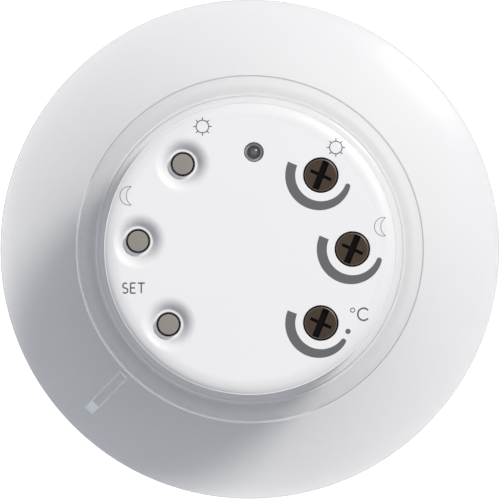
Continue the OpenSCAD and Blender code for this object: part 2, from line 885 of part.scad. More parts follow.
suction_cup();
rear_cap();
base_shell();
front_window();
seal_ring();
circuit_board();
cell_carrier();
solar_cell();
solar_leads();
storage_cell();
cell_tab_upper();
cell_tab_lower();
light_sensor();
sensor_tube();
temperature_sensor();
switch_body(0);  // switch_sun
switch_body(1);  // switch_moon
switch_body(2);  // switch_prog
switch_covers();
switch_terminals();
dome(0);  // dome_sun
dome(1);  // dome_moon
dome(2);  // dome_prog
button(0);  // button_sun
button(1);  // button_moon
button(2);  // button_prog
trimmer_body(0);  // trimmer_sun
trimmer_body(1);  // trimmer_moon
trimmer_body(2);  // trimmer_temperature
rotor(0);  // rotor_sun
rotor(1);  // rotor_moon
rotor(2);  // rotor_temperature
status_lamp();
lamp_leads();
radio_board();
radio_shield();
aerial();
controller_chip();
crystal();
buffer_capacitors();
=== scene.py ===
import json
import math

import bpy
import numpy as np
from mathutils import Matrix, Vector


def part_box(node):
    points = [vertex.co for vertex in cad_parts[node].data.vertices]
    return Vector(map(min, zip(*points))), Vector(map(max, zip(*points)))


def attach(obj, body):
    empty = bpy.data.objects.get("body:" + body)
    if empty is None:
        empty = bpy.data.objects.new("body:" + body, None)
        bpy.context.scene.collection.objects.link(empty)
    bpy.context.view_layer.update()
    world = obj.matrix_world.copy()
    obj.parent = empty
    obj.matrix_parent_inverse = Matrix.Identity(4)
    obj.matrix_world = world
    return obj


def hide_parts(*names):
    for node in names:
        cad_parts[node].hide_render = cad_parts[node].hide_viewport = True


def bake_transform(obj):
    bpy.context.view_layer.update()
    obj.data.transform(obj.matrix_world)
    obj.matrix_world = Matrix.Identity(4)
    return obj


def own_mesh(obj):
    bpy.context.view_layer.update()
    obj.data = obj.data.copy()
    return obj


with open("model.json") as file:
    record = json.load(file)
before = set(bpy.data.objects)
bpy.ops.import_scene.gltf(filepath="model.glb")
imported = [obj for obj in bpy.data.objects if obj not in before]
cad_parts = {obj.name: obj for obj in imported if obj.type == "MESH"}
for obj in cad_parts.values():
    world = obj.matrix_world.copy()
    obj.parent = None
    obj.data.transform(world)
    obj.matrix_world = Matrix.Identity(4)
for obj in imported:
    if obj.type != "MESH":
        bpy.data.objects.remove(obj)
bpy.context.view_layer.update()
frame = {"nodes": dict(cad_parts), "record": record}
nodes = frame["nodes"]
mm = 0.001  # lengths below are in millimetres, and become metres when a mesh is made
print("frame loaded:", len(nodes), "nodes")


# Heights and radii that the pieces share, all read from the frame
def radiusOf(node):
    low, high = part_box(node)
    return (high.x - low.x) / 2 / mm


def topOf(node):
    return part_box(node)[1].z / mm


def bottomOf(node):
    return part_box(node)[0].z / mm


def centreOf(node):
    low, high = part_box(node)
    return np.array([(low.x + high.x) / 2 / mm, (low.y + high.y) / 2 / mm])


rimRadius = radiusOf("suction_cup")
lipHeight = topOf("suction_cup")
capRadius = radiusOf("rear_cap")
capTop = topOf("rear_cap")
capRim = bottomOf("rear_cap")
boardTop = topOf("circuit_board")
baseFront = bottomOf("base_shell")
buttonNodes = ["button_sun", "button_moon", "button_prog"]
rotorNodes = ["rotor_sun", "rotor_moon", "rotor_temperature"]
bodyOfNode = {n: b for b, members in frame["record"]["behaviour"]["bodies"].items() for n in members}


# A ramp that rises smoothly from 0 to 1
def smoothRamp(t):
    t = np.clip(t, 0, 1)
    return t * t * (3 - 2 * t)


# Puts points and faces into a new object, and turns the faces round if the solid is inside out
def newPiece(name, points, faces, sharpAngle=35):
    points = np.asarray(points, float).reshape(-1, 3)
    volume = 0
    for rows in faces:
        rows = np.asarray(rows)
        a = points[rows[:, 0]]
        for k in range(1, rows.shape[1] - 1):
            volume += np.einsum("ij,ij->i", a, np.cross(points[rows[:, k]], points[rows[:, k + 1]])).sum()
    allFaces = []
    for rows in faces:
        allFaces += np.asarray(rows)[:, :: 1 if volume > 0 else -1].tolist()
    mesh = bpy.data.meshes.new(name)
    mesh.from_pydata((points * mm).tolist(), [], allFaces)
    mesh.update()
    mesh.shade_smooth()
    mesh.set_sharp_from_angle(angle=math.radians(sharpAngle))
    piece = bpy.data.objects.new(name, mesh)
    bpy.context.scene.collection.objects.link(piece)
    return piece


# Quads between the rows of an index grid, closed round its second direction, and round the first on request
def gridFaces(index, closeRows):
    following = np.roll(index, -1, axis=0) if closeRows else index[1:]
    rows = index if closeRows else index[:-1]
    around = [np.roll(g, -1, axis=1) for g in (rows, following)]
    return np.stack([rows, following, around[1], around[0]], -1).reshape(-1, 4)


# A profile of (radius, height) carried round an upright axis: x = cx + r cos a, y = cy + r sin a.
# A profile that starts and ends on the axis closes there in a pole, and any other is a closed loop.
def revolve(name, profile, segments=96, centre=(0, 0), sharpAngle=35):
    profile = np.asarray(profile, float)
    polar = profile[0, 0] < 1e-9
    ring = profile[1:-1] if polar else profile
    angle = np.linspace(0, 2 * np.pi, segments, endpoint=False)
    x = centre[0] + ring[:, :1] * np.cos(angle)
    y = centre[1] + ring[:, :1] * np.sin(angle)
    z = np.repeat(ring[:, 1:], segments, axis=1)
    points = np.stack([x, y, z], -1).reshape(-1, 3)
    index = np.arange(len(points)).reshape(len(ring), segments)
    faces = [gridFaces(index, not polar)]
    if polar:
        poles = [[centre[0], centre[1], profile[k, 1]] for k in (0, -1)]
        first = np.full(segments, len(points))
        last = first + 1
        fanA = np.stack([first, index[0], np.roll(index[0], -1)], -1)
        fanB = np.stack([last, np.roll(index[-1], -1), index[-1]], -1)
        faces += [fanA, fanB]
        points = np.concatenate([points, poles])
    return newPiece(name, points, faces, sharpAngle)


# Corners (radius, height, fillet) become a line whose fillets are arcs that touch both sides of their corner
def filleted(corners, steps=5):
    corners = np.asarray(corners, float)
    line = []
    for k, fillet in enumerate(corners[:, 2]):
        here = corners[k, :2]
        if fillet <= 0 or k in (0, len(corners) - 1):
            line.append(here)
            continue
        before, after = corners[k - 1, :2] - here, corners[k + 1, :2] - here
        before, after = before / np.linalg.norm(before), after / np.linalg.norm(after)
        half = math.acos(np.clip(before @ after, -1, 1)) / 2
        if half > math.radians(89):
            line.append(here)
            continue
        middle = here + (before + after) / np.linalg.norm(before + after) * fillet / math.sin(half)
        first = here + before * fillet / math.tan(half) - middle
        last = here + after * fillet / math.tan(half) - middle
        share = np.linspace(0, 1, steps + 1)[:, None]
        sweep = math.pi - 2 * half
        line += list(middle + (np.sin((1 - share) * sweep) * first + np.sin(share * sweep) * last) / math.sin(sweep))
    return np.array(line)


# Cuts or joins other solids into a piece for good, and removes them
def combine(piece, tools, operation):
    for tool in tools:
        modifier = piece.modifiers.new(tool.name, "BOOLEAN")
        modifier.operation = operation
        modifier.solver = "EXACT"
        modifier.object = tool
    depsgraph = bpy.context.evaluated_depsgraph_get()
    result = bpy.data.meshes.new_from_object(piece.evaluated_get(depsgraph))
    piece.modifiers.clear()
    piece.data = result
    for tool in tools:
        bpy.data.objects.remove(tool)


# Shader parts: every material is a Principled shader, with nodes placed by these few calls
def addNode(tree, kind, inputs=None, **settings):
    node = tree.nodes.new(kind)
    for key, value in settings.items():
        setattr(node, key, value)
    for key, value in (inputs or {}).items():
        if isinstance(value, bpy.types.NodeSocket):
            tree.links.new(value, node.inputs[key])
        else:
            node.inputs[key].default_value = value
    return node


def calculate(tree, operation, *values, **settings):
    return addNode(tree, "ShaderNodeMath", dict(enumerate(values)), operation=operation, **settings).outputs[0]


def vectorStep(tree, operation, *values):
    return addNode(tree, "ShaderNodeVectorMath", dict(enumerate(values)), operation=operation).outputs["Vector"]


def split(tree, vector, axis):
    return addNode(tree, "ShaderNodeSeparateXYZ", {0: vector}).outputs[axis]


def ramp(tree, value, start, end, low=0.0, high=1.0):
    sockets = {"Value": value, "From Min": start, "From Max": end, "To Min": low, "To Max": high}
    return addNode(tree, "ShaderNodeMapRange", sockets).outputs["Result"]


def mixValues(tree, share, a, b):
    return addNode(tree, "ShaderNodeMix", {0: share, 2: a, 3: b}).outputs[0]


def mixColours(tree, share, base, colour):
    return addNode(tree, "ShaderNodeMix", {0: share, 6: base, 7: colour}, data_type="RGBA").outputs[2]


def opposite(tree, mask):
    return calculate(tree, "SUBTRACT", 1.0, mask)


# Where a point is on the object, for a pattern or a mask
def placeOn(tree):
    return addNode(tree, "ShaderNodeTexCoord").outputs["Object"]


def opaque(colour):
    return (*colour, 1.0)


def newMaterial(name, **values):
    material = bpy.data.materials.new(name)
    material.use_nodes = True
    tree = material.node_tree
    tree.nodes.clear()
    shader = addNode(tree, "ShaderNodeBsdfPrincipled", values)
    addNode(tree, "ShaderNodeOutputMaterial", {"Surface": shader.outputs["BSDF"]})
    return material, tree, shader


# The tree, shader and bump node of a finished material, for what a single piece adds to it
def partsOf(material):
    tree = material.node_tree
    shader = next(n for n in tree.nodes if n.type == "BSDF_PRINCIPLED")
    relief = next(n for n in tree.nodes if n.type == "BUMP")
    return tree, shader, relief


def newGroup(name, inputs, outputs):
    group = bpy.data.node_groups.new(name, "ShaderNodeTree")
    for socketName, value in inputs.items():
        kind = "NodeSocketFloat" if isinstance(value, float) else "NodeSocketVector"
        socket = group.interface.new_socket(socketName, in_out="INPUT", socket_type=kind)
        if value is not None:
            socket.default_value = value
    for socketName in outputs:
        group.interface.new_socket(socketName, in_out="OUTPUT", socket_type="NodeSocketFloat")
    return group, group.nodes.new("NodeGroupInput").outputs, group.nodes.new("NodeGroupOutput").inputs


def noiseIn(tree, vector, size, detail):
    scale = calculate(tree, "DIVIDE", 1 / mm, size)
    return addNode(tree, "ShaderNodeTexNoise", {"Vector": vector, "Scale": scale, "Detail": detail}).outputs["Fac"]


# Moulded plastic: a cloudy tone, a fine grain for the bump and a little unevenness in the gloss
def makeMouldedSurface():
    group, given, result = newGroup(
        "mouldedSurface",
        {
            "Vector": None,
            "Cloud Size": 6.0,
            "Cloud Depth": 0.03,
            "Grain Size": 0.12,
            "Roughness": 0.4,
            "Gloss Wear": 0.06,
        },
        ["Tone", "Roughness", "Height"],
    )
    cloud = calculate(group, "SUBTRACT", noiseIn(group, given["Vector"], given["Cloud Size"], 3.0), 0.5)
    tone = calculate(group, "MULTIPLY_ADD", cloud, given["Cloud Depth"], 1.0)
    gloss = calculate(group, "MULTIPLY_ADD", cloud, given["Gloss Wear"], given["Roughness"])
    group.links.new(tone, result["Tone"])
    group.links.new(gloss, result["Roughness"])
    group.links.new(noiseIn(group, given["Vector"], given["Grain Size"], 2.0), result["Height"])
    return group


# Metal that was rolled or drawn: fine lines along one direction
def makeDrawnLines():
    group, given, result = newGroup(
        "drawnLines",
        {"Vector": None, "Stretch": (20.0, 1.0, 1.0), "Line Size": 0.3, "Roughness": 0.3, "Depth": 0.15},
        ["Tone", "Roughness", "Height"],
    )
    stretched = vectorStep(group, "DIVIDE", given["Vector"], given["Stretch"])
    lines = noiseIn(group, stretched, given["Line Size"], 4.0)
    centred = calculate(group, "SUBTRACT", lines, 0.5)
    tone = calculate(group, "MULTIPLY_ADD", centred, given["Depth"], 1.0)
    gloss = calculate(group, "MULTIPLY_ADD", centred, given["Depth"], given["Roughness"])
    group.links.new(tone, result["Tone"])
    group.links.new(gloss, result["Roughness"])
    group.links.new(lines, result["Height"])
    return group


mouldedSurface = makeMouldedSurface()
drawnLines = makeDrawnLines()


# A normal that leans upwards where a face looks up, for plastic that spreads light within itself
def evenedNormal(tree, share):
    normal = addNode(tree, "ShaderNodeNewGeometry").outputs["Normal"]
    lean = calculate(tree, "MULTIPLY", split(tree, normal, "Z"), share, use_clamp=True)
    mixed = addNode(tree, "ShaderNodeMix", {0: lean, 4: normal, 5: (0, 0, 1)}, data_type="VECTOR")
    return vectorStep(tree, "NORMALIZE", mixed.outputs[1])


# Places a shared effect in a material, and feeds the shader's colour, roughness and normal from it
def applyEffect(parts, group, colour, bump, bumpDistance=0.02, mask=None, maskColour=None, even=None, **values):
    material, tree, shader = parts
    values["Vector"] = place = placeOn(tree)
    effect = addNode(tree, "ShaderNodeGroup", values, node_tree=group).outputs
    toned = addNode(
        tree,
        "ShaderNodeMix",
        {0: 1.0, 6: opaque(colour), 7: effect["Tone"]},
        data_type="RGBA",
        blend_type="MULTIPLY",
    ).outputs[2]
    if mask is not None:
        toned = mixColours(tree, mask(tree, place), toned, opaque(maskColour))
    relief = addNode(
        tree, "ShaderNodeBump", {"Strength": bump, "Distance": bumpDistance * mm, "Height": effect["Height"]}
    )
    if even is not None:
        tree.links.new(evenedNormal(tree, even(tree, place)), relief.inputs["Normal"])
    tree.links.new(toned, shader.inputs["Base Color"])
    tree.links.new(effect["Roughness"], shader.inputs["Roughness"])
    tree.links.new(relief.outputs["Normal"], shader.inputs["Normal"])
    return material


def mouldedMaterial(name, colour, bump=0.15, shader=None, **options):
    return applyEffect(newMaterial(name, **(shader or {})), mouldedSurface, colour, bump, **options)


def metalMaterial(name, colour, bump=0.2, **values):
    return applyEffect(newMaterial(name, Metallic=1.0), drawnLines, colour, bump, bumpDistance=0.01, **values)


# Mask that is 1, or another value, farther than a radius from an upright axis
def beyondRadius(centre, radius, softness=0.02, value=1.0):
    def build(tree, place):
        offset = vectorStep(tree, "SUBTRACT", place, (centre[0] * mm, centre[1] * mm, 0))
        flat = vectorStep(tree, "MULTIPLY", offset, (1, 1, 0))
        length = addNode(tree, "ShaderNodeVectorMath", {0: flat}, operation="LENGTH").outputs["Value"]
        return ramp(tree, length, (radius - softness) * mm, (radius + softness) * mm, high=value)

    return build


# Mask that is 1 between two radii from an upright axis
def withinBand(centre, inner, outer, softness=0.04, value=1.0):
    def build(tree, place):
        reached = beyondRadius(centre, inner, softness, value)(tree, place)
        past = beyondRadius(centre, outer, softness, value)(tree, place)
        return calculate(tree, "SUBTRACT", reached, past, use_clamp=True)

    return build


# Mask that is 1 below a height
def belowHeight(height, softness):
    def build(tree, place):
        z = split(tree, place, "Z")
        return ramp(tree, z, (height + softness) * mm, (height - softness) * mm)

    return build


def dress(piece, material):
    piece.data.materials.clear()
    piece.data.materials.append(material)


# Suction cup
cup = {
    "rimThickness": 0.9,
    "rimRound": 0.34,
    "landWidth": 1.2,
    "skirtThickness": 3.0,
    "footHeight": 10.5,
    "footRadius": 26.1,
    "ledgeWidth": 0.35,
    "shoulderHeight": 15.1,
    "lipRadius": 23.1,
    "lipLedge": 0.15,
    "boreRadius": 20.45,
    "counterboreRadius": 21.93,
    "floorHeight": 6.0,
    "beadDepth": 0.45,
    "bulge": 0.18,
    "skirtPower": 1.25,
    "hollowPower": 1.2,
    "hollowRadius": 24.5,
    "mouthSlope": 0.15,
    "seatGap": 0.1,  # under the cap's rim
    "floorStep": 0.6,
    "smallFillet": 0.1,
    "largeFillet": 0.15,
    "softFrom": 7.2,  # height above which the real cup moves with the housing when pressed; the cup is built here at rest
    "colour": (0.835, 0.838, 0.85),
    "lipColour": (0.785, 0.788, 0.80),
    "cover": 0.35,
    "lipCover": 0.85,
    "shadowCover": 0.12,
    "evenness": 0.3,
    "lipEvenness": 0.95,
    # Painted glow lines and painted shade lines at the foot and the lip, standing in for light conducted in the vinyl
    "paintedGlowBands": [(25.72, 26.1, 1.0), (22.93, 23.1, 0.7)],  # from, to, strength
    "paintedGlowColour": (0.97, 0.98, 1.0),
    "paintedShadeBands": [(25.94, 26.11, 1.0), (22.92, 23.06, 0.45)],
    "paintedShadeColour": (0.30, 0.31, 0.33),
    "paintedShadeCover": 0.6,
    "paintedGlowEvenness": 1.8,
    "tabSideCosines": (0.35, 0.65),
    "rimSweep": 62.0,  # angle at which the rim's round goes over into the skirt
    "rimDip": 0.02,
    "ringSpacing": 1.1,  # power that sets rings of points closer at the rim
    "lipFade": (0.1, 0.3),  # start and softness of a mask's edge
    "collarFade": (0.4, 0.2, 0.15),
    "mouthRound": 0.04,
}


# Skirt's outer face: rim thickness plus a drop that follows (1 - u) to a power, where u is the way out to the rim
def skirtHeight(radius):
    inner = cup["footRadius"] + cup["ledgeWidth"] / 2
    u = np.clip((radius - inner) / (rimRadius - inner), 0, 1)
    return cup["rimThickness"] + (cup["footHeight"] - cup["rimThickness"]) * (1 - u) ** cup["skirtPower"]


# A line from a to b that bows outwards by a half sine
def bowed(a, b, height, count=14):
    a, b = np.array(a, float), np.array(b, float)
    share = np.linspace(0, 1, count)[:, None]
    side = np.array([(b - a)[1], -(b - a)[0]]) / np.linalg.norm(b - a)
    return a + (b - a) * share + side * height * np.sin(np.pi * share)


def cupProfile():
    inner = cup["footRadius"] + cup["ledgeWidth"] / 2
    landRadius = rimRadius - cup["landWidth"]
    share = (inner - cup["hollowRadius"]) / (landRadius - cup["hollowRadius"])
    u = 1 - np.linspace(0, 1, 56) ** cup["ringSpacing"]
    radii = inner + (rimRadius - cup["rimRound"] - inner) * u
    skirt = np.stack([radii, skirtHeight(radii)], -1)
    v = np.linspace(0, 1, 40)[:-1]
    hollow = np.stack(
        [
            cup["hollowRadius"] + (landRadius - cup["hollowRadius"]) * v,
            (cup["footHeight"] - cup["skirtThickness"]) * ((1 - v) / (1 - share)) ** cup["hollowPower"],
        ],
        -1,
    )
    rimTop = skirt[0, 1]
    arc = np.radians(np.linspace(-90, cup["rimSweep"], 14))
    rim = np.stack(
        [
            rimRadius - cup["rimRound"] + cup["rimRound"] * np.cos(arc),
            rimTop / 2 + (rimTop / 2 - cup["rimDip"]) * np.sin(arc) / np.sin(arc[-1]),
        ],
        -1,
    )
    rim[:, 1] = np.maximum(rim[:, 1], 0)
    ledgeInner = cup["footRadius"] - cup["ledgeWidth"] / 2
    collar = bowed(
        (ledgeInner, cup["footHeight"]), (cup["lipRadius"] + cup["lipLedge"], cup["shoulderHeight"]), cup["bulge"]
    )
    mouth = cup["counterboreRadius"] + cup["mouthSlope"]
    lip = bowed((cup["lipRadius"], cup["shoulderHeight"]), (mouth, lipHeight), cup["bulge"])
    small, large = cup["smallFillet"], cup["largeFillet"]
    bore, beadRadius, seat = cup["boreRadius"], cup["boreRadius"] - cup["beadDepth"], capRim - cup["seatGap"]
    beadTop, beadFoot = groove["foot"] + groove["height"] - beadClear, groove["foot"] + beadClear
    inside = filleted(
        [
            (cup["counterboreRadius"], lipHeight, cup["mouthRound"]),
            (cup["counterboreRadius"], seat, small),
            (bore, seat, small),
            (bore, beadTop, small),
            (beadRadius, beadTop - cup["beadDepth"], large),
            (beadRadius, beadFoot + cup["beadDepth"], large),
            (bore, beadFoot, small),
            (bore, cup["floorHeight"], large),
            (bore + cup["floorStep"], cup["floorHeight"], large),
            (cup["hollowRadius"], hollow[0, 1], 0),
        ]
    )[:-1]
    return np.concatenate([[[landRadius, 0]], rim, skirt, collar, lip, inside, hollow])


beadClear = 0.1
groove = {"height": 1.8}
groove["foot"] = baseFront + (capRim - baseFront - groove["height"]) / 2


# Release tab: a patch on the skirt whose height is the larger of a frame ridge and a grip block
tab = {
    "angle": 225.0,
    "start": 26.6,
    "length": 7.84,
    "width": 1.74,
    "gripLength": 1.75,
    "frameWidth": 0.32,
    "frameHeight": 0.25,
    "gripHeight": 0.5,
    "gripLimit": 1.2,
    "flank": 0.1,  # width over which the ridge rises
    "gripFlank": 0.12,
    "gripRise": 0.25,
    "sunk": 0.02,
    "depth": 0.3,
    "cornerRadius": 0.2,
    "colour": (0.86, 0.88, 0.9),
    "cover": 2.0,  # over 1, so that the ridge's flanks are as solid as its top
}


def makeReleaseTab():
    along = np.linspace(0, tab["length"], 190)
    across = np.linspace(-tab["width"] / 2, tab["width"] / 2, 56)
    s, t = np.meshgrid(along, across, indexing="ij")
    halfLength, halfWidth, corner = tab["length"] / 2, tab["width"] / 2, tab["cornerRadius"]
    dx = np.abs(s - halfLength) - (halfLength - corner)
    dy = np.abs(t) - (halfWidth - corner)
    inside = corner - np.hypot(np.maximum(dx, 0), np.maximum(dy, 0)) - np.minimum(np.maximum(dx, dy), 0)
    flank = tab["flank"]
    ridge = smoothRamp(inside / flank) * (1 - smoothRamp((inside - tab["frameWidth"] + flank) / flank))
    grip = (s - tab["length"] + tab["gripLength"]) / tab["gripRise"]
    block = smoothRamp(inside / tab["gripFlank"]) * smoothRamp(grip)
    angle = math.radians(tab["angle"])
    x = (tab["start"] + s) * math.cos(angle) - t * math.sin(angle)
    y = (tab["start"] + s) * math.sin(angle) + t * math.cos(angle)
    surface = skirtHeight(np.hypot(x, y))
    gripTop = skirtHeight(tab["start"] + tab["length"] - tab["gripLength"]) + tab["gripHeight"] / 3
    level = np.minimum(gripTop - surface, tab["gripLimit"])
    height = np.maximum(ridge * tab["frameHeight"], block * level) - tab["sunk"]
    top = np.stack([x, y, surface + height], -1)
    bottom = np.stack([x, y, surface - tab["depth"]], -1)
    piece = closedSlab("release_tab", top, bottom)
    raised = piece.data.attributes.new("raised", "FLOAT", "POINT")
    values = np.zeros(len(piece.data.vertices), np.float32)
    values[: ridge.size] = np.maximum(ridge, block).ravel()
    raised.data.foreach_set("value", values)
    return piece


# A closed solid between an upper and a lower grid of the same size
def closedSlab(name, top, bottom, wrap=False):
    rows, columns = top.shape[:2]
    points = np.concatenate([top.reshape(-1, 3), bottom.reshape(-1, 3)])
    index = np.arange(rows * columns).reshape(rows, columns)
    under = index + rows * columns
    loop = np.concatenate([index, under[:, ::-1]], axis=1)
    faces = [gridFaces(loop, wrap)]
    if not wrap:
        for k in (0, -1):
            a, b = index[k, :-1], index[k, 1:]
            faces.append(np.stack([a, b, under[k, 1:], under[k, :-1]], -1)[:, :: 1 if k == 0 else -1])
    return newPiece(name, points, faces)


print("making the suction cup")
cupPiece = revolve("suction_cup_soft", cupProfile(), segments=288, sharpAngle=40)
tabPiece = makeReleaseTab()
for piece in (cupPiece, tabPiece):
    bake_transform(piece)
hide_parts("suction_cup")


axis = (0, 0)


# Mask that is 1 on the side of the release tab, the side away from the key light: the cosine of the angle from it, on
# a ramp
def tabSide(tree, place):
    flat = vectorStep(tree, "MULTIPLY", place, (1, 1, 0))
    outward = vectorStep(tree, "NORMALIZE", flat)
    angle = math.radians(tab["angle"])
    towards = (math.cos(angle), math.sin(angle), 0)
    cosine = addNode(tree, "ShaderNodeVectorMath", {0: outward, 1: towards}, operation="DOT_PRODUCT")
    return ramp(tree, cosine.outputs["Value"], *cup["tabSideCosines"])


def vinylMaterial(name, colour):
    return mouldedMaterial(
        name,
        colour,
        bump=0.04,
        shader={"IOR": 1.45, "Specular IOR Level": 0.4},
        **{"Roughness": 0.25, "Cloud Size": 9.0, "Cloud Depth": 0.03, "Grain Size": 0.3},
    )


# Where two faces of the cup meet, a painted glow line shines on the tab's side, away from the key light, and a
# painted shade line darkens the other side, standing in for light conducted in the vinyl that leaves there: colour,
# cover and normal change in narrow bands round the axis
def addPaintedFootLines(tree, place, colour, cover, even):
    side = tabSide(tree, place)
    other = opposite(tree, side)
    for inner, outer, strength in cup["paintedShadeBands"]:
        band = withinBand(axis, inner, outer)(tree, place)
        dark = calculate(tree, "MULTIPLY", calculate(tree, "MULTIPLY", band, strength), other)
        colour = mixColours(tree, dark, colour, opaque(cup["paintedShadeColour"]))
        cover = mixValues(tree, dark, cover, cup["paintedShadeCover"])
    for inner, outer, strength in cup["paintedGlowBands"]:
        band = withinBand(axis, inner, outer)(tree, place)
        bright = calculate(tree, "MULTIPLY", calculate(tree, "MULTIPLY", band, strength), side)
        colour = mixColours(tree, bright, colour, opaque(cup["paintedGlowColour"]))
        cover = mixValues(tree, bright, cover, 1.0)
        even = mixValues(tree, bright, even, cup["paintedGlowEvenness"])
    return colour, cover, even


# Clear vinyl's Alpha: the cover that the eye sees, and a lower one for the light that goes through
def setCover(tree, shader, cover, factor=1.0):
    path = addNode(tree, "ShaderNodeLightPath")
    alpha = mixValues(tree, path.outputs["Is Shadow Ray"], cover, cup["shadowCover"])
    tree.links.new(calculate(tree, "MULTIPLY", alpha, factor, use_clamp=True), shader.inputs["Alpha"])


def makeCupMaterial():
    material = vinylMaterial("clear_vinyl", cup["colour"])
    tree, shader, relief = partsOf(material)
    place = placeOn(tree)
    start, softness = cup["lipFade"]
    outer = beyondRadius(axis, cup["lipRadius"] + start, softness)(tree, place)
    lip = opposite(tree, outer)
    colour = mixColours(tree, lip, shader.inputs["Base Color"].links[0].from_socket, opaque(cup["lipColour"]))
    cover = mixValues(tree, lip, cup["cover"], cup["lipCover"])
    start, end, softness = cup["collarFade"]
    collar = withinBand(axis, cup["lipRadius"] + start, cup["footRadius"] - end, softness)(tree, place)
    even = mixValues(tree, collar, cup["evenness"], 0.0)
    even = mixValues(tree, lip, even, cup["lipEvenness"])
    colour, cover, even = addPaintedFootLines(tree, place, colour, cover, even)
    tree.links.new(colour, shader.inputs["Base Color"])
    tree.links.new(evenedNormal(tree, even), relief.inputs["Normal"])
    setCover(tree, shader, cover)
    return material


# The patch under the tab shows only where the tab stands out
def makeTabMaterial():
    material = vinylMaterial("thick_vinyl", tab["colour"])
    tree, shader, relief = partsOf(material)
    tree.links.new(evenedNormal(tree, cup["lipEvenness"]), relief.inputs["Normal"])
    raised = addNode(tree, "ShaderNodeAttribute", attribute_name="raised")
    setCover(tree, shader, tab["cover"], raised.outputs["Fac"])
    return material


dress(cupPiece, makeCupMaterial())
dress(tabPiece, makeTabMaterial())


# Rear cap
cap = {
    "edgeWidth": 2.1,
    "edgeSlope": 52.0,
    "edgeLedge": 0.15,
    "wall": 1.4,
    "ceiling": 19.6,
    "dishRadius": 4.3,
    "dishFloorRadius": 2.2,
    "dishDepth": 1.33,
    "dishBias": 0.6,
    "buttonHole": 1.81,
    "rotorHole": 2.63,
    "lampHole": 1.46,
    "holeRound": 0.12,
    "bossFoot": 19.0,
    "bossTop": 20.3,
    "bossWall": 0.25,
    "bossReach": 20.4,  # from the axis, just inside the cap's wall
    "clampWidth": 0.3,
    "edgeBevel": 0.04,
    "rimBevel": 0.15,
    "boardGap": 0.05,
    "overrun": 1.0,  # by which cutters stand out
    "colour": (0.818, 0.814, 0.822),
    "evenness": 0.5,
    "edgeFade": 0.4,
    "edgeShade": 0.045,
    "holeShade": 0.045,
    "holeShadeColour": (0.012, 0.012, 0.013),
}
edgeSlope = math.radians(cap["edgeSlope"])
edgeRun = cap["edgeWidth"] - cap["edgeLedge"]
edgeRadius = edgeRun / math.sin(edgeSlope)


# Height of the cap's outer face over a point: flat, then an arc that falls off to the edge's slope, then a ledge
def capHeight(x, y):
    over = np.clip(np.hypot(x, y) - (capRadius - cap["edgeWidth"]), 0, edgeRun)
    return capTop - edgeRadius + np.sqrt(edgeRadius**2 - over**2)


def capProfile():
    bore, bevel, clamp = capRadius - cap["wall"], cap["edgeBevel"], boardTop + cap["boardGap"]
    radii = capRadius - cap["edgeWidth"] + edgeRadius * np.sin(np.linspace(0, edgeSlope, 19))
    edge = np.stack([radii, capHeight(radii, 0)], -1)
    ledge = edge[-1, 1]
    inside = [
        (capRadius - bevel, ledge),
        (capRadius, ledge - bevel),
        (capRadius, capRim + cap["rimBevel"]),
        (capRadius - cap["rimBevel"], capRim),
        (bore, capRim),
        (bore, clamp),
        (bore - cap["clampWidth"], clamp),
        (bore - cap["clampWidth"], cap["ceiling"]),
        (0, cap["ceiling"]),
    ]
    return np.concatenate([[[0, capTop]], edge, inside])


# Cutter for a hole whose upper edge is rounded over
def holeCutter(name, centre, radius):
    arc = np.radians(np.linspace(180, 90, 7))
    lip = np.stack(
        [
            radius + cap["holeRound"] + cap["holeRound"] * np.cos(arc),
            capTop - cap["holeRound"] + cap["holeRound"] * np.sin(arc),
        ],
        -1,
    )
    low, high = cap["ceiling"] - cap["overrun"], capTop + cap["overrun"]
    profile = np.concatenate([[[0, low], [radius, low]], lip, [[lip[-1, 0], high], [0, high]]])
    return revolve(name, profile, segments=96, centre=centre)


# Cutter for a dish: its wall rises as the squared sine of a right angle times u to a power, u from floor to edge
def dishCutter(name, centre):
    u = np.linspace(0, 1, 26)
    wall = np.stack(
        [
            cap["dishFloorRadius"] + (cap["dishRadius"] - cap["dishFloorRadius"]) * u,
            capTop - cap["dishDepth"] * (1 - np.sin(np.pi / 2 * u ** cap["dishBias"]) ** 2),
        ],
        -1,
    )
    floor = capTop - cap["dishDepth"]
    low, high = cap["ceiling"] - 2 * cap["overrun"], capTop + cap["overrun"]
    hole = [(0, low), (cap["buttonHole"], low), (cap["buttonHole"], floor)]
    profile = np.concatenate([hole, wall, [[cap["dishRadius"], high], [0, high]]])
    return revolve(name, profile, segments=128, centre=centre)


def makeCap():
    piece = revolve("rear_cap_shell", capProfile(), segments=288)
    bosses = []
    for node in buttonNodes:
        foot, top, reach = cap["bossFoot"], cap["bossTop"], cap["bossReach"]
        radius = cap["dishRadius"] + cap["bossWall"]
        boss = revolve("boss_" + node, [(0, foot), (radius, foot), (radius, top), (0, top)], centre=centreOf(node))
        limit = revolve("limit_" + node, [(0, foot - 1), (reach, foot - 1), (reach, top + 1), (0, top + 1)])
        combine(boss, [limit], "INTERSECT")
        bosses.append(boss)
    combine(piece, bosses, "UNION")
    cutters = [dishCutter("dish_" + node, centreOf(node)) for node in buttonNodes]
    cutters += [holeCutter("hole_" + node, centreOf(node), cap["rotorHole"]) for node in rotorNodes]
    cutters.append(holeCutter("hole_lamp", centreOf("status_lamp"), cap["lampHole"]))
    combine(piece, cutters, "DIFFERENCE")
    piece.data.shade_smooth()
    piece.data.set_sharp_from_angle(angle=math.radians(30))
    weighted = piece.modifiers.new("even_shading", "WEIGHTED_NORMAL")
    weighted.keep_sharp = True
    return piece


# Painted shade: a mask that is 1 in the holes, where little light reaches, and weak at the cap's rounded edge, which
# is painted a little darker
def capShade(tree, place):
    shade = beyondRadius(axis, capRadius - cap["edgeWidth"], cap["edgeFade"], cap["edgeShade"])(tree, place)
    holes = [(node, cap["buttonHole"]) for node in buttonNodes] + [(node, cap["rotorHole"]) for node in rotorNodes]
    for node, radius in holes:
        past = beyondRadius(centreOf(node), radius + cap["holeShade"])(tree, place)
        shade = calculate(tree, "MAXIMUM", shade, opposite(tree, past))
    return shade


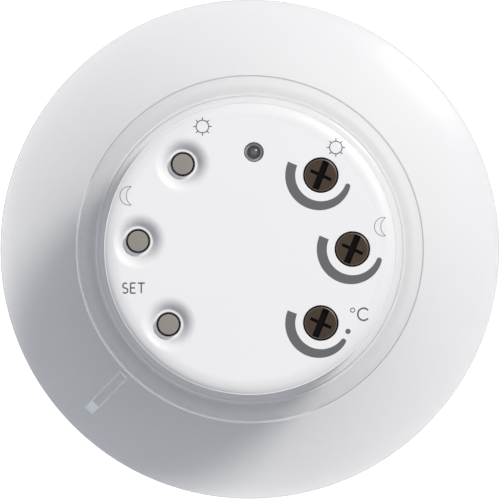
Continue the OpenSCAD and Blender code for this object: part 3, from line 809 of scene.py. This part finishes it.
print("making the cap")
capPiece = makeCap()
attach(capPiece, "housing")
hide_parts("rear_cap")
capMaterial = mouldedMaterial(
    "satin_abs",
    cap["colour"],
    bump=0.08,
    shader={"IOR": 1.5},
    mask=capShade,
    maskColour=cap["holeShadeColour"],
    even=beyondRadius(axis, capRadius - cap["edgeWidth"], cap["edgeFade"], cap["evenness"]),
    **{"Roughness": 0.38, "Cloud Size": 14.0, "Cloud Depth": 0.02, "Grain Size": 0.16},
)
dress(capPiece, capMaterial)


# Push buttons
plunger = {
    "radius": 1.765,
    "edgeRound": 0.06,
    "flangeRadius": 2.1,
    "flangeHeight": 0.7,
    "nubRadius": 0.6,
    "flangeFoot": 17.35,
    "fillet": 0.05,
    "flangeRound": 0.08,
    "nubRound": 0.1,
    "gapShadeFrom": 1.53,
    "colour": (0.292, 0.27, 0.24),
    "gapShadeColour": (0.006, 0.006, 0.007),
}


def makePlunger(node):
    top, nub = topOf(node), bottomOf(node)
    flange = plunger["flangeFoot"] + plunger["flangeHeight"]
    profile = filleted(
        [
            (0, top, 0),
            (plunger["radius"], top, plunger["edgeRound"]),
            (plunger["radius"], flange, plunger["fillet"]),
            (plunger["flangeRadius"], flange, plunger["flangeRound"]),
            (plunger["flangeRadius"], plunger["flangeFoot"], plunger["flangeRound"]),
            (plunger["nubRadius"], plunger["flangeFoot"], plunger["fillet"]),
            (plunger["nubRadius"], nub, plunger["nubRound"]),
            (0, nub, 0),
        ]
    )
    piece = revolve(node + "_plunger", profile, segments=96, centre=centreOf(node))
    material = mouldedMaterial(
        node + "_plastic",
        plunger["colour"],
        bump=0.1,
        # Painted shade: from this radius out, the top's edge and the sides are near black, for the shade in the gap
        # round the button
        mask=beyondRadius(centreOf(node), plunger["gapShadeFrom"], 0.01),
        maskColour=plunger["gapShadeColour"],
        shader={"Specular IOR Level": 0.05},
        **{"Roughness": 0.45, "Cloud Size": 1.6, "Cloud Depth": 0.08, "Grain Size": 0.08},
    )
    dress(piece, material)
    return piece


print("making the push buttons")
for node in buttonNodes:
    piece = makePlunger(node)
    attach(piece, bodyOfNode[node])
    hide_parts(node)


# Snap domes under the buttons, built at rest; on the real switch they flatten as a button goes down
snap = {"thickness": 0.15, "keep": 0.7}


# A bell whose height is the squared cosine of a right angle times the way out to its edge
def makeSnapDome(node):
    foot = bottomOf(node)
    share = np.linspace(0, 1, 16)
    height = foot + (topOf(node) - foot - snap["thickness"]) * np.cos(np.pi / 2 * share) ** 2
    lower = np.stack([radiusOf(node) * share, height], -1)
    upper = lower + [0, snap["thickness"]]
    return revolve(node + "_spring", np.concatenate([upper, lower[::-1]]), segments=48, centre=centreOf(node))


print("making the snap domes")
snapSteel = metalMaterial("snap_steel", (0.66, 0.66, 0.67), **{"Roughness": 0.28, "Line Size": 0.2})
for button in buttonNodes:
    node = button.replace("button", "dome")
    piece = makeSnapDome(node)
    dress(piece, snapSteel)
    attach(piece, "housing")
    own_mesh(piece)
    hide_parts(node)


# Trimmer rotors
rotor = {
    "radius": 2.55,
    "edgeRound": 0.08,
    "chamferWidth": 0.29,
    "chamferDrop": 0.115,
    "chamferRound": 0.03,
    "flangeRadius": 3.0,
    "flangeHeight": 0.7,
    "flangeRound": 0.08,
    "fillet": 0.05,
    "boreRadius": 0.75,
    "boreHeight": 1.45,
    "slotAngle": 68.0,
    "slotLength": 4.5,
    "slotWidth": 1.0,
    "slotDepth": 0.8,
    "crossLength": 3.4,
    "crossWidth": 0.55,
    "crossTip": 0.16,
    "crossDepth": 0.6,
    "rimWidth": 0.11,
    "rimShine": 0.9,
    "shadeDepth": 0.25,
    "shadeFade": 0.12,
    "rimFade": 0.03,
    "shineFade": 0.02,
    "colour": (0.064, 0.045, 0.032),
    "slotShadeColour": (0.003, 0.002, 0.002),
}


# An outline carried upwards from one height to another, turned about its middle
def extruded(name, outline, angle, centre, low, high):
    outline = np.asarray(outline, float)
    turn = math.radians(angle)
    x = centre[0] + outline[:, 0] * math.cos(turn) - outline[:, 1] * math.sin(turn)
    y = centre[1] + outline[:, 0] * math.sin(turn) + outline[:, 1] * math.cos(turn)
    count = len(outline)
    points = np.concatenate([np.stack([x, y, np.full(count, z)], -1) for z in (low, high)])
    index = np.arange(2 * count).reshape(2, count)
    faces = [gridFaces(index, False), index[0][None, ::-1], index[1][None]]
    return newPiece(name, points, faces)


def makeRotor(node):
    centre, top, foot = centreOf(node), topOf(node), bottomOf(node)
    flange = foot + rotor["flangeHeight"]
    bore, boreTop = rotor["boreRadius"], foot + rotor["boreHeight"]
    profile = filleted(
        [
            (0, top, 0),
            (rotor["radius"] - rotor["chamferWidth"], top, rotor["chamferRound"]),
            (rotor["radius"], top - rotor["chamferDrop"], rotor["edgeRound"]),
            (rotor["radius"], flange, rotor["fillet"]),
            (rotor["flangeRadius"], flange, rotor["flangeRound"]),
            (rotor["flangeRadius"], foot, rotor["flangeRound"]),
            (bore, foot, rotor["fillet"]),
            (bore, boreTop, rotor["fillet"]),
            (0, boreTop, 0),
        ]
    )
    piece = revolve(node + "_disc", profile, segments=128, centre=centre)
    length, width = rotor["slotLength"] / 2, rotor["slotWidth"] / 2
    main = [(-length, -width), (length, -width), (length, width), (-length, width)]
    reach, tip, half = rotor["crossLength"] / 2, rotor["crossTip"], rotor["crossWidth"] / 2
    cross = [(-reach, -tip), (0, -half), (reach, -half), (reach, tip), (0, half), (-reach, half)]
    above = top + 1
    cutters = [
        extruded("slot_" + node, main, rotor["slotAngle"], centre, top - rotor["slotDepth"], above),
        extruded("cross_" + node, cross, rotor["slotAngle"] + 90, centre, top - rotor["crossDepth"], above),
    ]
    combine(piece, cutters, "DIFFERENCE")
    piece.data.shade_smooth()
    piece.data.set_sharp_from_angle(angle=math.radians(30))
    return piece


# Painted shade: near black below the top face, in the slots, and at the rim, for the shade in the slots and in the
# gap round the rotor
def rotorShadeMask(node):
    def build(tree, place):
        low = belowHeight(topOf(node) - rotor["shadeDepth"], rotor["shadeFade"])(tree, place)
        rim = beyondRadius(centreOf(node), rotor["radius"] - rotor["rimWidth"], rotor["rimFade"])(tree, place)
        return calculate(tree, "MAXIMUM", low, rim)

    return build


# The chamfer is rubbed smooth, so it alone has a coat that catches the light
def polishChamfer(node, material):
    tree, shader = partsOf(material)[:2]
    place = placeOn(tree)
    inner, outer = rotor["radius"] - rotor["chamferWidth"], rotor["radius"] - rotor["rimWidth"]
    shine = withinBand(centreOf(node), inner, outer, rotor["shineFade"], rotor["rimShine"])(tree, place)
    tree.links.new(shine, shader.inputs["Coat Weight"])


print("making the trimmer rotors")
for node in rotorNodes:
    piece = makeRotor(node)
    material = mouldedMaterial(
        node + "_plastic",
        rotor["colour"],
        bump=0.25,
        mask=rotorShadeMask(node),
        maskColour=rotor["slotShadeColour"],
        shader={"Specular IOR Level": 0.04, "Coat Roughness": 0.42},
        **{"Roughness": 0.42, "Cloud Size": 1.2, "Cloud Depth": 0.35, "Grain Size": 0.1},
    )
    polishChamfer(node, material)
    dress(piece, material)
    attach(piece, bodyOfNode[node])
    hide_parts(node)


# Status lamp
lamp = {
    "radius": 1.4,
    "domeRadius": 1.0,
    "domeHeight": 0.8,
    "flangeRadius": 1.9,
    "flangeHeight": 1.0,
    "shoulderRound": 0.1,
    "fillet": 0.05,
    "domeFade": (0.04, 0.05),  # start and softness of the mask's edge
    "colour": (0.24, 0.24, 0.245),
    "domeColour": (0.05, 0.05, 0.052),
}


def makeLamp():
    top, foot = topOf("status_lamp"), bottomOf("status_lamp")
    shoulder = top - lamp["domeHeight"]
    angle = np.linspace(0, np.pi / 2, 14)
    dome = np.stack([lamp["domeRadius"] * np.sin(angle), shoulder + lamp["domeHeight"] * np.cos(angle)], -1)
    dome[0, 0] = 0
    body = filleted(
        [
            (lamp["domeRadius"], shoulder, 0),
            (lamp["radius"], shoulder, lamp["shoulderRound"]),
            (lamp["radius"], foot + lamp["flangeHeight"], lamp["fillet"]),
            (lamp["flangeRadius"], foot + lamp["flangeHeight"], lamp["shoulderRound"]),
            (lamp["flangeRadius"], foot, lamp["fillet"]),
            (0, foot, 0),
        ]
    )
    return revolve("status_lamp_lens", np.concatenate([dome, body[1:]]), 96, centreOf("status_lamp"))


print("making the status lamp")
lampPiece = makeLamp()
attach(lampPiece, "housing")
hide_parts("status_lamp")
# Painted light: the shoulder round the dome takes a lighter grey than the dark dome, for the light that its flat face
# catches
dress(
    lampPiece,
    mouldedMaterial(
        "smoked_lens",
        lamp["domeColour"],
        bump=0.03,
        mask=beyondRadius(centreOf("status_lamp"), lamp["domeRadius"] + lamp["domeFade"][0], lamp["domeFade"][1]),
        maskColour=lamp["colour"],
        shader={"Coat Weight": 1.0, "Coat Roughness": 0.14, "Specular IOR Level": 0.1},
        **{"Roughness": 0.2, "Cloud Size": 1.0, "Cloud Depth": 0.1, "Grain Size": 0.2},
    ),
)


# Printed marks: thin slabs that follow the cap's face
ink = {
    "thickness": 0.02,
    "sunRing": 0.94,
    "sunLine": 0.15,
    "rayStart": 1.0,
    "rayEnd": 1.38,
    "moonHalf": 1.38,
    "moonOuter": 1.7,
    "moonInner": 0.75,
    "moonLine": 0.11,
    "scaleInner": 3.82,
    "scaleDrift": 0.15,  # by which the inner edge moves out on the way
    "scaleWidth": 1.5,
    "scaleTaper": 0.78,
    "taperPower": 3.3,
    "endPower": 1.6,  # sets points closer at a scale's round end
    "colour": (0.125, 0.125, 0.128),
    "fineColour": (0.26, 0.26, 0.27),
}


# A strip between two edge lines, laid on the cap's face
def inkStrip(name, left, right, across=5, wrap=False, material=None):
    share = np.linspace(0, 1, across)[None, :, None]
    flat = left[:, None] * (1 - share) + right[:, None] * share
    height = capHeight(flat[..., 0], flat[..., 1])[..., None]
    top = np.concatenate([flat, height + ink["thickness"]], -1)
    bottom = np.concatenate([flat, height - ink["thickness"]], -1)
    piece = closedSlab(name, top, bottom, wrap)
    dress(piece, material or inkMaterial)
    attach(piece, "housing")
    return piece


# An arc of changing width: both edges are worked out from its middle radius and half width at each angle
def inkArc(name, centre, angles, middle, half, **options):
    direction = np.stack([np.cos(angles), np.sin(angles)], -1)
    left = centre + direction * (middle - half)[:, None]
    right = centre + direction * (middle + half)[:, None]
    return inkStrip(name, left, right, **options)


# Scale arc of a trimmer: wide and square at its start, narrowing to a round end
def scaleArc(name, centre, startAngle, endAngle):
    u = 1 - (1 - np.linspace(0, 1, 110)) ** ink["endPower"]
    sweep = math.radians(endAngle - startAngle)
    width = ink["scaleWidth"] - ink["scaleTaper"] * u ** ink["taperPower"]
    inner = ink["scaleInner"] + ink["scaleDrift"] * u
    middle = inner + width / 2
    left = (1 - u) * abs(sweep) * middle[-1]
    roundness = np.sqrt(np.clip(1 - (1 - np.minimum(left / (width[-1] / 2), 1)) ** 2, 0, 1))
    inkArc(name, centre, math.radians(startAngle) + sweep * u, middle, width / 2 * roundness)


def sunMark(name, centre):
    angles = np.linspace(0, 2 * np.pi, 64, endpoint=False)
    ones = np.ones(len(angles))
    inkArc(name + "_ring", centre, angles, ones * ink["sunRing"], ones * ink["sunLine"] / 2, wrap=True)
    for k in range(8):
        direction = np.array([math.cos(k * math.pi / 4), math.sin(k * math.pi / 4)])
        side = np.array([-direction[1], direction[0]]) * ink["sunLine"] / 2
        reach = np.linspace(ink["rayStart"], ink["rayEnd"], 5)[:, None]
        inkStrip(name + "_ray_" + str(k + 1), centre + direction * reach - side, centre + direction * reach + side, 3)


# Crescent outline: two arcs through the same two tips, each found from its half chord and its rise
def moonMark(name, centre):
    for part, rise in (("outer", ink["moonOuter"]), ("inner", ink["moonInner"])):
        radius = (ink["moonHalf"] ** 2 + rise**2) / (2 * rise)
        reach = math.asin(min(1, ink["moonHalf"] / radius))
        if rise > radius:
            reach = math.pi - reach
        angles = np.linspace(math.pi - reach, math.pi + reach, 48)
        middle = centre + np.array([ink["moonOuter"] / 2 - rise + radius, 0])
        ones = np.ones(len(angles))
        half = ones * ink["moonLine"] / 2
        inkArc(name + "_" + part, middle, angles, ones * radius, half, material=fineInkMaterial, across=3)


# A stroke of even width along a line of points; each edge stands off by half the width across the line
def inkStroke(name, points, width, **options):
    points = np.asarray(points, float)
    along = np.gradient(points, axis=0)
    side = np.stack([-along[:, 1], along[:, 0]], -1) / np.linalg.norm(along, axis=1)[:, None] * width / 2
    inkStrip(name, points - side, points + side, across=4, **options)


def straight(a, b, count=8):
    return np.array(a) + (np.array(b) - np.array(a)) * np.linspace(0, 1, count)[:, None]


def ellipseArc(centre, half, start, end, count=40):
    angle = np.radians(np.linspace(start, end, count))
    return np.array(centre) + np.array(half) * np.stack([np.cos(angle), np.sin(angle)], -1)


# The word beside the third button, drawn as strokes in a box one unit high
def setMark(corner, height, width):
    bowl = 0.25
    upper = ellipseArc((0.29, 1 - bowl), (0.23, bowl), 40, 270)
    lower = ellipseArc((0.29, bowl), (0.25, bowl), 90, -145)
    strokes = {
        "s": np.concatenate([upper, lower[1:]]),
        "e_stem": straight((0.83, 0), (0.83, 1)),
        "e_top": straight((0.83, 1), (1.33, 1)),
        "e_middle": straight((0.83, 0.52), (1.27, 0.52)),
        "e_foot": straight((0.83, 0), (1.33, 0)),
        "t_top": straight((1.55, 1), (2.25, 1)),
        "t_stem": straight((1.9, 1), (1.9, 0)),
    }
    for part, points in strokes.items():
        inkStroke("mark_set_" + part, np.array(corner) + points * height, width)


def inkMaterialOf(name, colour):
    return mouldedMaterial(
        name,
        colour,
        bump=0.1,
        shader={"Specular IOR Level": 0.2},
        **{"Roughness": 0.5, "Cloud Size": 1.0, "Cloud Depth": 0.08, "Grain Size": 0.06},
    )


# Where each mark stands on the cap, and from which angle to which each scale goes
marks = {
    "sunPlaces": {"button": (-7.12, 18.4), "trimmer": (12.91, 15.25)},
    "moonPlaces": {"button": (-18.65, 8.0), "trimmer": (19.55, 3.36)},
    "scales": {"sun": (157.5, 343), "moon": (157.5, 343), "temperature": (159, 326.6)},
    "degree": ((15.43, -9.16), 0.31, 0.07),  # centre, radius, half the line's width
    "temperatureDot": ((14.73, -12.35), 0.2, 0.1999),
    "celsius": ((17.08, -9.78), (0.88, 0.91), 42, 318),  # centre, half axes, from angle, to angle
    "celsiusLine": 0.25,
    "set": ((-19.15, -6.6), 1.5, 0.22),  # corner, height, line width
}

print("printing the marks")
inkMaterial = inkMaterialOf("grey_ink", ink["colour"])
fineInkMaterial = inkMaterialOf("fine_grey_ink", ink["fineColour"])
for which, (start, end) in marks["scales"].items():
    scaleArc("scale_" + which, centreOf("rotor_" + which), start, end)
for what, place in marks["sunPlaces"].items():
    sunMark("mark_sun_" + what, np.array(place))
for what, place in marks["moonPlaces"].items():
    moonMark("mark_moon_" + what, np.array(place))
fullTurn = np.linspace(0, 2 * np.pi, 48, endpoint=False)
for name, mark in (("mark_degree", "degree"), ("mark_temperature_dot", "temperatureDot")):
    place, radius, half = marks[mark]
    ones = np.ones(len(fullTurn))
    inkArc(name, np.array(place), fullTurn, ones * radius, ones * half, wrap=True)
inkStroke("mark_celsius", ellipseArc(*marks["celsius"]), marks["celsiusLine"])
setMark(*marks["set"])


# Finishes of the pieces that the frame carries over
finishes = {
    "white_abs": mouldedMaterial(
        "moulded_abs", (0.84, 0.845, 0.855), bump=0.1, **{"Roughness": 0.45, "Cloud Size": 8.0, "Grain Size": 0.15}
    ),
    "seal_rubber": mouldedMaterial(
        "seal_rubber", (0.012, 0.012, 0.013), bump=0.3, **{"Roughness": 0.75, "Cloud Depth": 0.3, "Grain Size": 0.1}
    ),
    "black_plastic": mouldedMaterial(
        "black_plastic", (0.018, 0.018, 0.02), bump=0.2, **{"Roughness": 0.5, "Cloud Depth": 0.2, "Grain Size": 0.1}
    ),
    "sensor_epoxy": mouldedMaterial(
        "dark_epoxy",
        (0.014, 0.012, 0.018),
        bump=0.03,
        shader={"Coat Weight": 0.8, "Coat Roughness": 0.08},
        **{"Roughness": 0.25, "Cloud Depth": 0.2},
    ),
    "bead_glass": mouldedMaterial(
        "dipped_bead",
        (0.06, 0.16, 0.09),
        bump=0.1,
        shader={"Coat Weight": 0.6, "Coat Roughness": 0.1},
        **{"Roughness": 0.3, "Cloud Size": 1.0, "Cloud Depth": 0.3},
    ),
    "lead_wire": mouldedMaterial(
        "red_insulation", (0.42, 0.025, 0.02), bump=0.1, **{"Roughness": 0.45, "Cloud Depth": 0.15}
    ),
    "trimmer_plastic": mouldedMaterial(
        "trimmer_body", (0.09, 0.068, 0.052), bump=0.2, **{"Roughness": 0.5, "Cloud Depth": 0.2, "Grain Size": 0.1}
    ),
    "capacitor_epoxy": mouldedMaterial(
        "yellow_epoxy", (0.72, 0.44, 0.06), bump=0.15, **{"Roughness": 0.4, "Cloud Size": 2.0, "Cloud Depth": 0.12}
    ),
    "bright_steel": metalMaterial("bright_steel", (0.66, 0.66, 0.67), **{"Roughness": 0.28, "Line Size": 0.2}),
    "aerial_wire": metalMaterial(
        "enamelled_copper", (0.72, 0.36, 0.15), **{"Roughness": 0.25, "Stretch": (1.0, 1.0, 1.0), "Line Size": 0.6}
    ),
}


board = {
    "grid": 0.4,
    "trackScale": 260.0,
    "trackEdge": (0.05, 0.03),
    "resist": (0.012, 0.085, 0.035),
    "track": (0.03, 0.18, 0.07),
}
solar = {
    "strips": 8,
    "lineEdge": (0.06, 0.03),
    "film": (0.020, 0.010, 0.022),
    "filmLight": (0.045, 0.020, 0.030),
    "line": (0.35, 0.33, 0.32),
}


# Solder resist over copper: tracks are the bands where a stepped noise crosses a level
def boardMaterial():
    material, tree, shader = newMaterial(
        "board_laminate", **{"Coat Weight": 0.4, "Coat Roughness": 0.2, "Roughness": 0.4}
    )
    place = placeOn(tree)
    snapped = vectorStep(tree, "SNAP", place, (board["grid"] * mm,) * 3)
    noise = addNode(tree, "ShaderNodeTexNoise", {"Vector": snapped, "Scale": board["trackScale"], "Detail": 0.0})
    distance = calculate(tree, "ABSOLUTE", calculate(tree, "SUBTRACT", noise.outputs["Fac"], 0.5))
    track = ramp(tree, distance, *board["trackEdge"])
    colour = mixColours(tree, track, opaque(board["resist"]), opaque(board["track"]))
    tree.links.new(colour, shader.inputs["Base Color"])
    bump = addNode(tree, "ShaderNodeBump", {"Strength": 0.3, "Distance": 0.03 * mm, "Height": track})
    tree.links.new(bump.outputs["Normal"], shader.inputs["Normal"])
    return material


# Solar cell: a dark film with a bright line between its strips
def solarMaterial():
    material, tree, shader = newMaterial(
        "solar_film", **{"Coat Weight": 1.0, "Coat Roughness": 0.05, "Roughness": 0.3}
    )
    place = placeOn(tree)
    low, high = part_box("solar_cell")
    stripWidth = (high.x - low.x) / solar["strips"]
    share = calculate(tree, "DIVIDE", split(tree, place, "X"), stripWidth)
    line = ramp(tree, calculate(tree, "PINGPONG", share, 1.0), *solar["lineEdge"])
    noise = addNode(tree, "ShaderNodeTexNoise", {"Vector": place, "Scale": 300.0})
    film = mixColours(tree, noise.outputs["Fac"], opaque(solar["film"]), opaque(solar["filmLight"]))
    tree.links.new(mixColours(tree, line, film, opaque(solar["line"])), shader.inputs["Base Color"])
    return material


def windowMaterial():
    material, tree, shader = newMaterial(
        "clear_window", **{"Transmission Weight": 1.0, "IOR": 1.49, "Base Color": (0.97, 0.985, 0.99, 1)}
    )
    place = placeOn(tree)
    noise = addNode(tree, "ShaderNodeTexNoise", {"Vector": place, "Scale": 90.0, "Detail": 2.0})
    tree.links.new(ramp(tree, noise.outputs["Fac"], 0.0, 1.0, 0.02, 0.06), shader.inputs["Roughness"])
    return material


finishes["board_laminate"] = boardMaterial()
finishes["cell_silicon"] = solarMaterial()
finishes["window_clear"] = windowMaterial()
slotOfNode = {part["node"]: part["material_slot"] for part in frame["record"]["subparts"]}
for name, node in nodes.items():
    if not node.hide_render:
        for place in node.material_slots:
            place.material = finishes[slotOfNode[name]]
print("finishes placed")


# Stage, light and camera
stage = {
    "floorSize": 4.0,
    "floorGap": 0.02,
    "floorColour": (0.78, 0.78, 0.787),
    "floorGlow": 0.7,
    "keyAzimuth": 45.0,
    "keyElevation": 45.0,
    "keyDistance": 1.2,
    "keySize": 0.29,
    "keyWatts": 10.2,
    "keyColour": (1.0, 0.965, 0.925),
    "topWatts": 13.9,
    "skyColour": (0.905, 0.935, 1.0),
    "topSize": 2.4,
    "topHeight": 1.6,
    "fill": 0.185,
}


# White for what the camera, a reflection or clear plastic sees, and the fill for everything else
def seenDirectly(tree):
    path = addNode(tree, "ShaderNodeLightPath").outputs
    first = calculate(tree, "MAXIMUM", path["Is Camera Ray"], path["Is Glossy Ray"])
    return calculate(tree, "MAXIMUM", first, path["Is Transmission Ray"])


def makeFloor():
    half = stage["floorSize"] / 2
    mesh = bpy.data.meshes.new("floor")
    mesh.from_pydata([(-half, -half, 0), (half, -half, 0), (half, half, 0), (-half, half, 0)], [], [(0, 1, 2, 3)])
    floor = bpy.data.objects.new("floor", mesh)
    floor.location.z = -stage["floorGap"] * mm
    bpy.context.scene.collection.objects.link(floor)
    material, tree, shader = newMaterial(
        "pale_floor", **{"Base Color": opaque(stage["floorColour"]), "Roughness": 0.9, "Emission Color": (1, 1, 1, 1)}
    )
    outside = beyondRadius(axis, rimRadius - 0.03)(tree, placeOn(tree))
    seen = calculate(tree, "MULTIPLY", seenDirectly(tree), outside)
    tree.links.new(calculate(tree, "MULTIPLY", seen, stage["floorGlow"]), shader.inputs["Emission Strength"])
    mesh.materials.append(material)


def makeWorld():
    world = bpy.data.worlds.new("studio")
    bpy.context.scene.world = world
    world.use_nodes = True
    tree = world.node_tree
    tree.nodes.clear()
    fill = addNode(tree, "ShaderNodeBackground", {"Color": opaque(stage["skyColour"]), "Strength": stage["fill"]})
    white = addNode(tree, "ShaderNodeBackground", {"Color": (1, 1, 1, 1), "Strength": 1.0})
    mix = addNode(tree, "ShaderNodeMixShader", {0: seenDirectly(tree), 1: fill.outputs[0], 2: white.outputs[0]})
    addNode(tree, "ShaderNodeOutputWorld", {"Surface": mix.outputs[0]})


def addSoftbox(name, place, watts, size, colour):
    light = bpy.data.lights.new(name, "AREA")
    light.shape = "DISK"
    light.size = size
    light.energy = watts
    light.color = colour
    lampObject = bpy.data.objects.new(name, light)
    lampObject.location = place
    lampObject.rotation_mode = "QUATERNION"
    lampObject.rotation_quaternion = (-Vector(place)).to_track_quat("-Z", "Y")
    bpy.context.scene.collection.objects.link(lampObject)


def makeLights():
    azimuth, elevation = math.radians(stage["keyAzimuth"]), math.radians(stage["keyElevation"])
    direction = Vector(
        (math.cos(azimuth) * math.cos(elevation), math.sin(azimuth) * math.cos(elevation), math.sin(elevation))
    )
    addSoftbox("key", direction * stage["keyDistance"], stage["keyWatts"], stage["keySize"], stage["keyColour"])
    addSoftbox("top", Vector((0, 0, stage["topHeight"])), stage["topWatts"], stage["topSize"], stage["skyColour"])


camera = {
    "framePixels": 500,
    "rimPixels": 249.84,  # radius of the rim in the picture
    "centrePixels": (249.87, 249.09),  # where the picture shows the axis, from its upper left corner
    "height": 0.6,
}


# Straight above the rim and without perspective, at the scale that makes the rim as large as in the picture
def makeCamera():
    pixel = rimRadius * mm / camera["rimPixels"]
    width = camera["framePixels"] * pixel
    middle = camera["framePixels"] / 2
    x = (middle - camera["centrePixels"][0]) * pixel
    y = (camera["centrePixels"][1] - middle) * pixel
    lens = bpy.data.cameras.new("camera")
    lens.type = "ORTHO"
    lens.ortho_scale = width
    lens.clip_start, lens.clip_end = 0.01, 5
    view = bpy.data.objects.new("camera", lens)
    view.location = (x, y, camera["height"])
    bpy.context.scene.collection.objects.link(view)
    bpy.context.scene.camera = view


print("setting the stage")
makeCamera()
makeFloor()
makeWorld()
makeLights()
bpy.context.scene.view_settings.view_transform = "Standard"

print("done")
